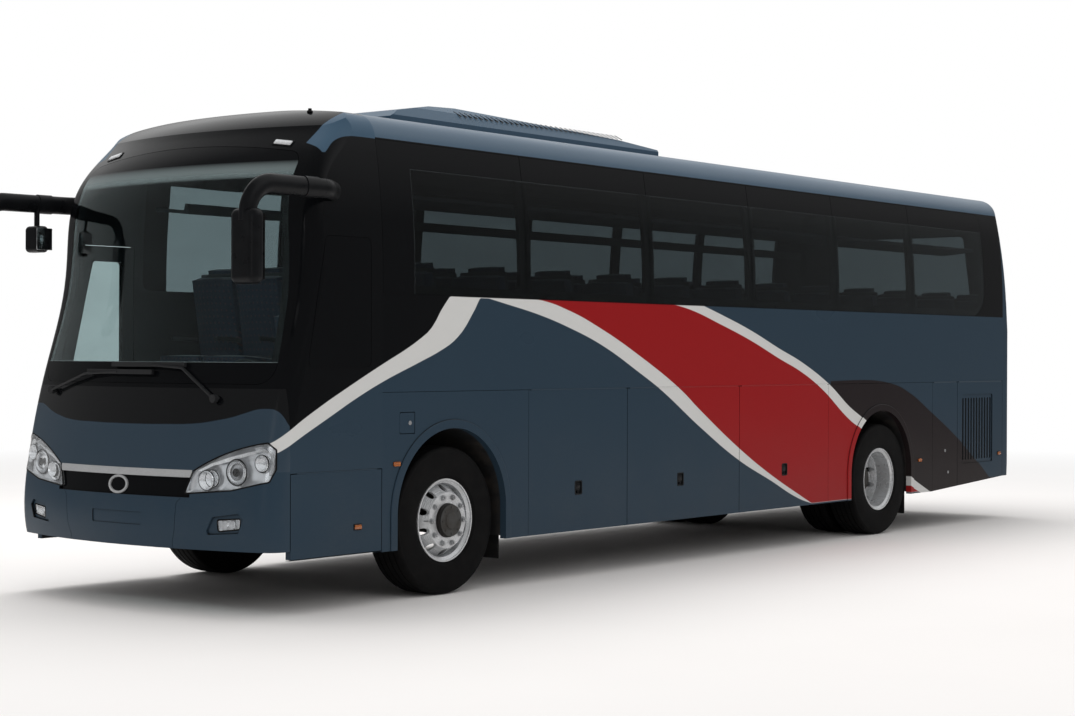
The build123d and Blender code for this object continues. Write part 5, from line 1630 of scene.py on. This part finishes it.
@dataclass
class RoofFittings:
    """The clear marker lamps over the windscreen, the aerial's foot and the roof unit's louvres."""

    marker: Spot = (4.727, 0.845, 3.087)
    marker_way: Spot = (0.696, 0.176, 0.696)
    foot: Block = Block(0.162, 0.062, 0.010, 0.0045)
    lens: Block = Block(0.140, 0.040, 0.014, 0.006, 3)
    aerial: Spot = (4.415, 0.782, 3.326)
    aerial_skirt: Bar = Bar(0.022, 0.012, 20, 0.018, 0.002)
    aerial_boss: Bar = Bar(0.014, 0.026, 16, 0.012, 0.003)
    louvre: Block = Block(0.012, 0.074, 0.004, 0.0015, 1)
    louvre_run: tuple[float, float] = (2.82, 0.78)
    louvres: int = 34
    louvre_line: tuple[float, float] = (0.742, 3.4685)
    louvre_way: Spot = (0.0, 0.581, 0.814)
    louvre_lean: float = 0.5

    def build(self) -> None:
        """Makes the lamps, the aerial's foot and the louvres."""
        lens, foot = Model(), Model()
        place = facing(self.marker, self.marker_way)
        across = place.to_3x3().inverted() @ Vector((0, 1, 0))
        place = place @ twist(math.atan2(across.y, across.x))
        foot.box(self.foot, place)
        lens.box(self.lens, place @ at(0, 0, 0.005))
        foot.mirrored()
        lens.mirrored()
        foot.piece("roof_marker_feet", Finishes.gloss_black, "coach_body", "black_plastic")
        lens.piece("roof_marker_lenses", Finishes.lamp_strip, "coach_body", "lamp_lens")
        nub = Model()
        nub.drum(self.aerial_skirt, turned(self.aerial))
        nub.drum(self.aerial_boss, turned(self.aerial))
        nub.piece("aerial_foot", Finishes.rubber, "coach_body", "rubber")
        slots = Model()
        start, end = self.louvre_run
        for number in range(self.louvres):
            x = start + (end - start) * number / (self.louvres - 1)
            spot = facing((x, *self.louvre_line), self.louvre_way) @ twist(self.louvre_lean)
            slots.box(self.louvre, spot)
        slots.mirrored()
        slots.piece("roof_unit_louvres", Finishes.black_plastic, "coach_body", "black_plastic")


@dataclass
class DoorHandle:
    """The pull handle on the passenger door's outside."""

    place: Spot = (4.215, -1.266, 1.300)
    plate: Block = Block(0.075, 0.004, 0.190, 0.0018)
    pull: Block = Block(0.022, 0.012, 0.140, 0.005, 3)
    foot: Block = Block(0.020, 0.016, 0.018, 0.004)
    stand_off: float = 0.016
    foot_apart: float = 0.12

    def build(self) -> None:
        """Makes the back plate, and the pull on its two feet."""
        x, y, z = self.place
        plate = Model()
        plate.box(self.plate, at(x, y - 0.001, z))
        plate.box(self.pull, at(x, y - self.stand_off, z))
        for end in (-1, 1):
            plate.box(self.foot, at(x, y - self.stand_off / 2, z + end * self.foot_apart / 2))
        plate.piece("passenger_door_handle", Finishes.mirror_black, "passenger_door", "black_plastic")


@dataclass
class Mirrors:
    """The mirrors' glasses, on the heads' rear faces."""

    rear_x: float = 5.474
    head_y: float = 1.341
    head_z: float = 2.352
    main_up: float = 0.070
    wide_down: float = 0.142
    proud: float = 0.0005
    main_glass: Block = Block(0.005, 0.182, 0.270, 0.0022)
    wide_glass: Block = Block(0.005, 0.182, 0.118, 0.0022)
    seal: Block = Block(0.004, 0.196, 0.412, 0.0018)
    kerb_glass: Block = Block(0.136, 0.005, 0.156, 0.002)
    kerb_place: Spot = (5.044, -1.242, 2.5)

    def build(self) -> None:
        """Makes the main glasses, the wide-angle glasses under them and the kerb mirror's glass."""
        model, seals = Model(), Model()
        for way in (1.0, -1.0):
            y = way * self.head_y
            model.box(self.main_glass, at(self.rear_x - self.proud, y, self.head_z + self.main_up))
            model.box(self.wide_glass, at(self.rear_x - self.proud, y, self.head_z - self.wide_down))
            seals.box(self.seal, at(self.rear_x + self.proud, y, self.head_z))
        model.box(self.kerb_glass, at(*self.kerb_place))
        model.piece("mirror_glasses", Finishes.mirror, "coach_body", "bright_trim")
        seals.piece("mirror_seals", Finishes.rubber, "coach_body", "rubber")


@dataclass
class RoofUnit:
    """The guarded fans of the roof's air conditioner."""

    radius: float = 0.198
    places: tuple[Spot, ...] = ((2.234, 0.34, 3.494), (1.434, 0.34, 3.478))
    hoops: tuple[float, ...] = (0.05, 0.09, 0.13, 0.17, 0.198)
    wire: float = 0.0022
    bars: int = 6
    bar_drop: float = 0.0035
    fan_drop: float = 0.011
    hub: Bar = Bar(0.045, 0.007, 24, 0.040, 0.001)
    blades: int = 7
    blade: Block = Block(0.13, 0.07, 0.002, 0.0006, 1)
    blade_out: float = 0.115
    blade_pitch: float = 0.05

    def build(self) -> None:
        """Makes the guards and the fans."""
        guard, fans = Model(), Model()
        for x, y, z in self.places:
            place = at(x, y, z)
            for hoop in self.hoops:
                guard.hoop(hoop, self.wire, place, 36, 5)
            for n in range(self.bars):
                bar = place @ twist(math.tau * n / self.bars) @ at(self.radius / 2, 0, -self.bar_drop)
                guard.box(Block(self.radius, 0.006, 0.003), bar)
            low = at(x, y, z - self.fan_drop)
            fans.drum(self.hub, low)
            for n in range(self.blades):
                blade = low @ twist(math.tau * n / self.blades) @ at(self.blade_out, 0, 0.002)
                fans.box(self.blade, blade @ twist(self.blade_pitch, "X"))
        guard.mirrored()
        fans.mirrored()
        guard.piece("roof_fan_guards", Finishes.black_plastic, "coach_body", "black_plastic")
        fans.piece("roof_fans", Finishes.gloss_black, "coach_body", "black_plastic")


@dataclass(frozen=True)
class Cushion:
    """A padded block: crowned between its seams by a cloth run under pressure."""

    size: Spot
    cells: tuple[int, int, int]
    channels: tuple[float, ...] = (-0.24, 0.24)
    pressure: float = 4.0
    cap: float = 0.022
    pull_in: float = 0.965
    steps: int = 20
    draft_swell: float = 0.015

    def block(self) -> bpy.types.Object:
        """The slack cover before it is filled, with its seams held.

        Returns:
            A scratch object at the origin.
        """
        bm = bmesh.new()
        bmesh.ops.create_cube(bm, size=1.0)
        for axis, cuts in enumerate(self.cells):
            edges = [e for e in bm.edges if abs((e.verts[0].co - e.verts[1].co)[axis]) > 0.9]
            bmesh.ops.subdivide_edges(bm, edges=edges, cuts=cuts, use_grid_fill=True)
        bmesh.ops.scale(bm, vec=self.size, verts=bm.verts)
        mesh = bpy.data.meshes.new("cover")
        bm.verts.index_update()
        half = Vector(self.size) / 2
        held = []
        edging = []
        for v in bm.verts:
            ends = [axis for axis in range(3) if abs(abs(v.co[axis]) - half[axis]) < 1e-5]
            sewn = any(abs(v.co.y / self.size[1] - channel) < 0.03 for channel in self.channels)
            if len(ends) >= 2:
                edging.append((v, ends))
            if len(ends) >= 2 or (sewn and abs(v.co.z - half.z) < 1e-5):
                held.append(v.index)
        for v, ends in edging:
            for axis in ends:
                v.co[axis] *= self.pull_in
        bm.to_mesh(mesh)
        bm.free()
        cover = shown("cover", mesh)
        group = cover.vertex_groups.new(name="seams")
        group.add(held, 1.0, "REPLACE")
        return cover

    def filled(self) -> bpy.types.Mesh:
        """Fills the cover.

        Returns:
            The crowned mesh at the origin.
        """
        cover = self.block()
        rest = [v.co.copy() for v in cover.data.vertices]
        cloth = cover.modifiers.new("filling", "CLOTH")
        cloth.settings.use_pressure = True
        cloth.settings.uniform_pressure_force = self.pressure
        cloth.settings.effector_weights.gravity = 0.0
        cloth.settings.vertex_group_mass = "seams"
        cloth.settings.quality = 5
        for number in range(1, self.steps + 1):
            bpy.context.scene.frame_set(number)
        seen = cover.evaluated_get(bpy.context.evaluated_depsgraph_get())
        shape = bpy.data.meshes.new_from_object(seen)
        for v, start in zip(shape.vertices, rest):
            moved = v.co - start
            if moved.length > self.cap:
                v.co = start + moved.normalized() * self.cap
        bpy.context.scene.frame_set(1)
        bpy.data.objects.remove(cover)
        return shape


@dataclass
class SaloonSeats:
    """Eleven rows of double seats a side and the rear bench: cushions, backs, shells, legs and armrests."""

    pitch: float = 0.8
    first: float = 3.544
    rows: int = 11
    floor: float = 1.230
    places: tuple[float, ...] = (0.488, 0.965)
    bench: tuple[float, ...] = (-0.96, -0.48, 0.0, 0.48, 0.96)
    wide: float = 0.448
    seat_at: tuple[float, float] = (0.292, 0.372)
    back_at: tuple[float, float] = (0.052, 0.725)
    head_at: tuple[float, float] = (-0.004, 1.015)
    shell_at: tuple[float, float] = (-0.010, 0.715)
    pan_at: tuple[float, float] = (0.290, 0.300)
    arm_at: Spot = (0.200, 0.232, 0.560)
    seat_tilt: float = -4.0
    back_tilt: float = -81.0
    arm_tilt: float = -3.0
    arm: Block = Block(0.26, 0.026, 0.034, 0.010)
    legs_at: tuple[float, float] = (0.42, 1.06)
    leg: Block = Block(0.05, 0.04, 0.292, 0.008)
    leg_foot: Block = Block(0.30, 0.05, 0.012, 0.003)

    def spots(self) -> list[tuple[float, float]]:
        """The foot of every seat: x of the row and y of its middle.

        Returns:
            A pair of numbers for each seat.
        """
        found = [(self.first - self.pitch * row, way * y)
                 for row in range(self.rows) for way in (1, -1) for y in self.places]
        last = self.first - self.pitch * self.rows
        return found + [(last, y) for y in self.bench]

    def seat_place(self, x: float, y: float, offset: tuple[float, float], tilt: float) -> Matrix:
        """Where one part of a seat goes.

        Args:
            x: the seat's place along the coach.
            y: the seat's place across.
            offset: the part's middle, ahead of the seat's place and over the floor.
            tilt: the part's lean in degrees.

        Returns:
            The part's place.
        """
        return turned((x + offset[0], y, self.floor + offset[1]), "Y", tilt)

    def cushions(self) -> None:
        """The padded seats and backs."""
        seat = Cushion((0.36, self.wide, 0.105), (6, 9, 2)).filled()
        back = Cushion((0.62, self.wide, 0.095), (9, 9, 2)).filled()
        head = Cushion((0.17, 0.30, 0.075), (3, 5, 2), ()).filled()
        model = Model()
        for x, y in self.spots():
            model.insert(seat, self.seat_place(x, y, self.seat_at, self.seat_tilt))
            model.insert(back, self.seat_place(x, y, self.back_at, self.back_tilt))
            model.insert(head, self.seat_place(x, y, self.head_at, self.back_tilt))
        piece = model.piece("saloon_cushions", Finishes.plush, "coach_body", "seat_fabric", 60)
        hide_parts("passenger_seats")

    def frames(self) -> None:
        """The back shells, the legs and the armrests."""
        shells, legs = Model(), Model()
        wide = self.wide - 0.01
        ahead, out, up = self.arm_at
        for x, y in self.spots():
            back = self.seat_place(x, y, self.shell_at, self.back_tilt)
            pan = self.seat_place(x, y, self.pan_at, self.seat_tilt)
            shells.box(Block(0.70, wide, 0.020, 0.008), back)
            shells.box(Block(0.34, wide, 0.028, 0.010), pan)
            for end in (-1, 1):
                shells.box(self.arm, self.seat_place(x, y + end * out, (ahead, up), self.arm_tilt))
        for row in range(self.rows):
            x = self.first - self.pitch * row
            for way in (1, -1):
                for y in self.legs_at:
                    legs.box(self.leg, at(x + 0.22, way * y, self.floor + 0.146))
                    legs.box(self.leg_foot, at(x + 0.24, way * y, self.floor + 0.007))
        shells.piece("saloon_seat_shells", Finishes.grey_plastic, "coach_body", "black_plastic")
        legs.piece("saloon_seat_legs", Finishes.chassis, "coach_body", "chassis_steel")

    def build(self) -> None:
        """Makes the seats."""
        self.cushions()
        self.frames()


@dataclass
class DriverSeat:
    """The driver's sprung seat."""

    x: float = 4.144
    y: float = 0.600
    seat_tilt: float = -2.0
    back_tilt: float = -80.0
    shell: Block = Block(0.64, 0.40, 0.022, 0.009)
    pan: Block = Block(0.38, 0.42, 0.030, 0.010)
    column: Block = Block(0.26, 0.24, 0.130, 0.012)
    foot: Block = Block(0.30, 0.26, 0.022, 0.004)

    def build(self) -> None:
        """Makes the cushion, the back, the headrest, the shell and the sprung foot."""
        seat = Cushion((0.40, 0.44, 0.10), (6, 9, 2), (-0.3, 0.3)).filled()
        back = Cushion((0.60, 0.44, 0.10), (9, 9, 2), (-0.3, 0.3)).filled()
        head = Cushion((0.16, 0.28, 0.08), (3, 5, 2), ()).filled()
        model = Model()
        model.insert(seat, turned((self.x + 0.320, self.y, 1.325), "Y", self.seat_tilt))
        model.insert(back, turned((self.x + 0.118, self.y, 1.665), "Y", self.back_tilt))
        model.insert(head, turned((self.x + 0.068, self.y, 2.000), "Y", self.back_tilt))
        piece = model.piece("driver_cushions", Finishes.plush, "coach_body", "seat_fabric", 60)
        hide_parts("driver_seat")
        base = Model()
        base.box(self.shell, turned((self.x + 0.052, self.y, 1.680), "Y", self.back_tilt))
        base.box(self.pan, turned((self.x + 0.315, self.y, 1.262), "Y", self.seat_tilt))
        base.box(self.column, at(self.x + 0.31, self.y, 1.190))
        base.box(self.foot, at(self.x + 0.31, self.y, 1.140))
        base.piece("driver_seat_base", Finishes.black_plastic, "coach_body", "black_plastic")


@dataclass
class Cab:
    """The instrument hood, its two dials and the dashboard's switches."""

    x: float = 4.735
    y: float = 0.600
    dial_apart: float = 0.20
    bezel: Line = ((0.0, 0.0), (0.056, 0.0), (0.056, 0.008), (0.052, 0.010), (0.050, 0.004), (0.0, 0.004))
    brow: Block = Block(0.20, 0.46, 0.032, 0.014, 3)
    panel: Block = Block(0.03, 0.44, 0.110, 0.010)
    ticks: int = 9
    first_tick: float = -120.0
    tick_apart: float = 30.0
    tick: Block = Block(0.0016, 0.009, 0.0008)
    needle: Block = Block(0.002, 0.036, 0.001)
    needle_turn: float = 0.9
    rockers: int = 8
    rocker: Block = Block(0.024, 0.026, 0.008, 0.003)
    rocker_pitch: float = 0.036
    first_rocker: Spot = (4.713, 0.17, 1.405)
    rocker_tilt: float = -41.0

    def build(self) -> None:
        """Makes the hood, the dials with plain ticks and a row of rocker switches."""
        hood = Model()
        hood.box(self.brow, turned((self.x + 0.09, self.y, 1.520), "Y", -8.0))
        hood.box(self.panel, turned((self.x + 0.120, self.y, 1.470), "Y", 20.0))
        hood.piece("instrument_hood", Finishes.dash_plastic, "coach_body", "black_plastic")
        dials = Model()
        for y in (self.y - self.dial_apart / 2, self.y + self.dial_apart / 2):
            place = facing((self.x + 0.104, y, 1.468), (-1.0, 0.0, 0.36))
            dials.lathe(self.bezel, place, 32)
            for n in range(self.ticks):
                angle = math.radians(self.first_tick + self.tick_apart * n)
                spot = place @ twist(angle) @ at(0, 0.042, 0.0045)
                dials.box(self.tick, spot)
            dials.box(self.needle, place @ twist(self.needle_turn) @ at(0, 0.014, 0.006))
        dials.piece("instrument_dials", Finishes.grey_plastic, "coach_body", "bright_trim")
        rockers = Model()
        for n in range(self.rockers):
            x, y, z = self.first_rocker
            place = turned((x, y - self.rocker_pitch * n, z), "Y", self.rocker_tilt)
            rockers.box(self.rocker, place)
        rockers.piece("dash_switches", Finishes.gloss_black, "coach_body", "black_plastic")


class Coach:
    """The CAD nodes' finishes."""

    kinds: tuple[tuple[Finish, str], ...] = (
        (Finishes.shell, "front_shell"),
        (Finishes.front, "front_panel"),
        (Finishes.bumper, "front_bumper"),
        (Finishes.grille, "grille"),
        (Finishes.side, "left_side_wall right_side_wall driver_flap passenger_door fuel_flap"),
        (Finishes.tail, "rear_wall engine_door rear_bumper"),
        (Finishes.roof, "roof_panel roof_hatch"),
        (Finishes.roof_unit, "air_conditioner"),
        (Finishes.saloon_glass, "side_windows rear_window"),
        (Finishes.screen_glass, "windscreen"),
        (Finishes.door_glass, "door_glass"),
        (Finishes.rear_lens, "rear_lamps"),
        (Finishes.amber, "side_markers"),
        (Finishes.mirror_black, "mirrors"),
        (Finishes.black_plastic, "steering_wheel wipers"),
        (Finishes.dash_plastic, "dashboard"),
        (Finishes.grey_plastic, "luggage_racks"),
        (Finishes.rubber, "mud_flaps"),
        (Finishes.floor, "floor_structure driver_platform"),
        (Finishes.cast, "engine"),
        (Finishes.chassis, "chassis_frame door_arm wheel_housings fuel_tanks front_axle rear_axle"),
    )
    endings: tuple[tuple[Finish, str], ...] = (
        (Finishes.front_wheel, "_front_wheel"),
        (Finishes.rear_wheel, "_rear_wheels"),
        (Finishes.cast, "_knuckle"),
        (Finishes.side, "_door_1 _door_2 _door_3 _battery_door _radiator_door"),
    )

    def finish_of(self, name: str) -> Finish | None:
        """A node's finish, or none where a detailed piece stands in for it.

        Args:
            name: the node's name.

        Returns:
            The finish, or None.
        """
        for finish, names in self.kinds:
            if name in names.split():
                return finish
        for finish, ends in self.endings:
            if name.endswith(tuple(ends.split())):
                return finish
        return None

    def dress(self) -> None:
        """Puts a finish on every CAD node that is shown."""
        for name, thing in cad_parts.items():
            finish = self.finish_of(name)
            if finish is not None:
                finish.dress(thing)
                log.info("node %s: %s", name, finish.label)


# ---------------------------------------------------------------- studio
@dataclass
class Studio:
    """A pale floor, soft lamps and a white surround."""

    floor: Colour = display(244, 241, 239)
    floor_radius: float = 160.0
    fade: tuple[float, float] = (6.5, 20.0)
    low_sky: float = 0.16
    high_sky: float = 0.95
    wall_sky: float = 0.22
    band_rise: tuple[float, float] = (0.16, 0.42)
    band_ahead: tuple[float, float] = (0.15, -0.35)

    def ground(self) -> None:
        """The floor, which fades into the white surround far from the coach."""
        mesh = bpy.data.meshes.new("studio_floor")
        bm = bmesh.new()
        bmesh.ops.create_circle(bm, cap_ends=True, segments=96, radius=self.floor_radius)
        bm.to_mesh(mesh)
        bm.free()
        thing = shown("studio_floor", mesh)
        material = bpy.data.materials.new("studio_floor")
        material.use_nodes = True
        tree = Tree(material.node_tree)
        shader = material.node_tree.nodes["Principled BSDF"]
        place = tree.place()
        speck = tree.noise(place, 0.6, 2.0)
        colour = tree.mix(tree.span(speck, 0.3, 0.7), self.floor, shaded(self.floor, 0.985))
        tree.feed(shader, Base_Color=colour, Roughness=0.9, Specular_IOR_Level=0.1)
        away = tree.add("VectorMath", operation="LENGTH")
        tree.put(away.inputs[0], place)
        path = tree.add("LightPath")
        seen = tree.larger(path.outputs["Is Camera Ray"], path.outputs["Is Glossy Ray"])
        far = tree.times(tree.span(away.outputs["Value"], *self.fade), seen)
        glow = tree.add("Emission")
        tree.feed(glow, Strength=tree.span(path.outputs["Is Glossy Ray"], 0.0, 1.0, 1.0, self.wall_sky))
        tree.layered(far, shader, glow)
        mesh.materials.append(material)

    def surround(self) -> None:
        """The world: plain soft light, white to the camera, and in gloss a dark wall under a bright band."""
        world = bpy.data.worlds.new("surround")
        bpy.context.scene.world = world
        world.use_nodes = True
        tree = Tree(world.node_tree)
        sky = world.node_tree.nodes["Background"]
        sky.inputs["Color"].default_value = (1.0, 1.0, 1.0, 1.0)
        path = tree.add("LightPath")
        seen = tree.larger(path.outputs["Is Camera Ray"], path.outputs["Is Transmission Ray"])
        ahead, _, rise = tree.parts(tree.add("TexCoord").outputs["Generated"])
        soft = tree.span(rise, 0.0, 0.9, self.low_sky, self.high_sky)
        band = tree.times(tree.span(rise, *self.band_rise), tree.span(ahead, *self.band_ahead))
        mirrored = tree.span(band, 0.0, 1.0, self.wall_sky, 1.0)
        gloss = tree.maths("MULTIPLY_ADD", path.outputs["Is Glossy Ray"], tree.minus(mirrored, soft), soft)
        tree.feed(sky, Strength=tree.maths("MULTIPLY_ADD", seen, tree.rest(gloss), gloss))

    def lamp(self, name: str, middle: Spot, aim: Spot, size: tuple[float, float], power: float,
             mirrored: bool = True) -> None:
        """One soft lamp.

        Args:
            name: its name.
            middle: where it hangs.
            aim: where it points.
            size: its two sizes.
            power: its watts.
            mirrored: whether gloss shows it.
        """
        data = bpy.data.lights.new(name, "AREA")
        data.shape = "RECTANGLE"
        data.size, data.size_y = size
        data.energy = power
        thing = shown(name, data)
        thing.location = middle
        thing.rotation_mode = "QUATERNION"
        thing.rotation_quaternion = (Vector(aim) - Vector(middle)).to_track_quat("-Z", "Y")
        thing.visible_glossy = mirrored

    def build(self) -> None:
        """Sets up the studio."""
        bpy.context.scene.view_settings.view_transform = "Standard"
        self.ground()
        self.surround()
        self.lamp("top_light", (-1.0, -3.0, 13.0), (0.0, 0.0, 1.0), (14.0, 7.0), 1260.0, False)
        self.lamp("side_light", (6.0, 14.0, 7.0), (0.0, 0.0, 1.5), (10.0, 5.0), 170.0, False)
        self.lamp("strip_light", (18.0, 5.5, 3.2), (5.0, 0.0, 1.8), (1.4, 6.0), 60.0)


@dataclass
class Viewpoint:
    """The camera off the front left corner: angles in radians, focal length and frame width in pixels."""

    place: Spot = (14.285, 10.4657, 1.69225)
    yaw: float = 0.663479
    pitch: float = -0.00205117
    roll: float = 0.00393768
    focal: float = 2024.3555
    wide: float = 1075.0
    film: float = 36.0
    clip: tuple[float, float] = (0.1, 400.0)

    def build(self) -> None:
        """Makes the scene's camera."""
        flat = math.cos(self.pitch)
        ahead = Vector((-math.cos(self.yaw) * flat, -math.sin(self.yaw) * flat, math.sin(self.pitch)))
        level = ahead.cross(Vector((0, 0, 1))).normalized()
        over = level.cross(ahead).normalized()
        right = level * math.cos(self.roll) + over * math.sin(self.roll)
        up = over * math.cos(self.roll) - level * math.sin(self.roll)
        data = bpy.data.cameras.new("camera")
        data.sensor_width = self.film
        data.lens = self.film * self.focal / self.wide
        data.clip_start, data.clip_end = self.clip
        thing = shown("camera", data)
        turn = Matrix((right, up, -ahead)).transposed().to_4x4()
        thing.matrix_world = Matrix.Translation(self.place) @ turn
        bpy.context.scene.camera = thing


def main() -> None:
    """Builds the coach's looks in order."""
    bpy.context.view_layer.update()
    for effect in (livery_effect, inner_effect, film_effect, grain_effect, peel_effect, weave_effect,
                   radius_effect):
        effect()
    Viewpoint().build()
    Studio().build()
    Coach().dress()
    for part in (FrontLamps, WheelDetails, FlapFittings, Mirrors, RoofFittings, DoorHandle, RoofUnit,
                 SaloonSeats, DriverSeat, Cab):
        log.info("building %s", part.__name__)
        part().build()


if __name__ == "__main__":
    main()
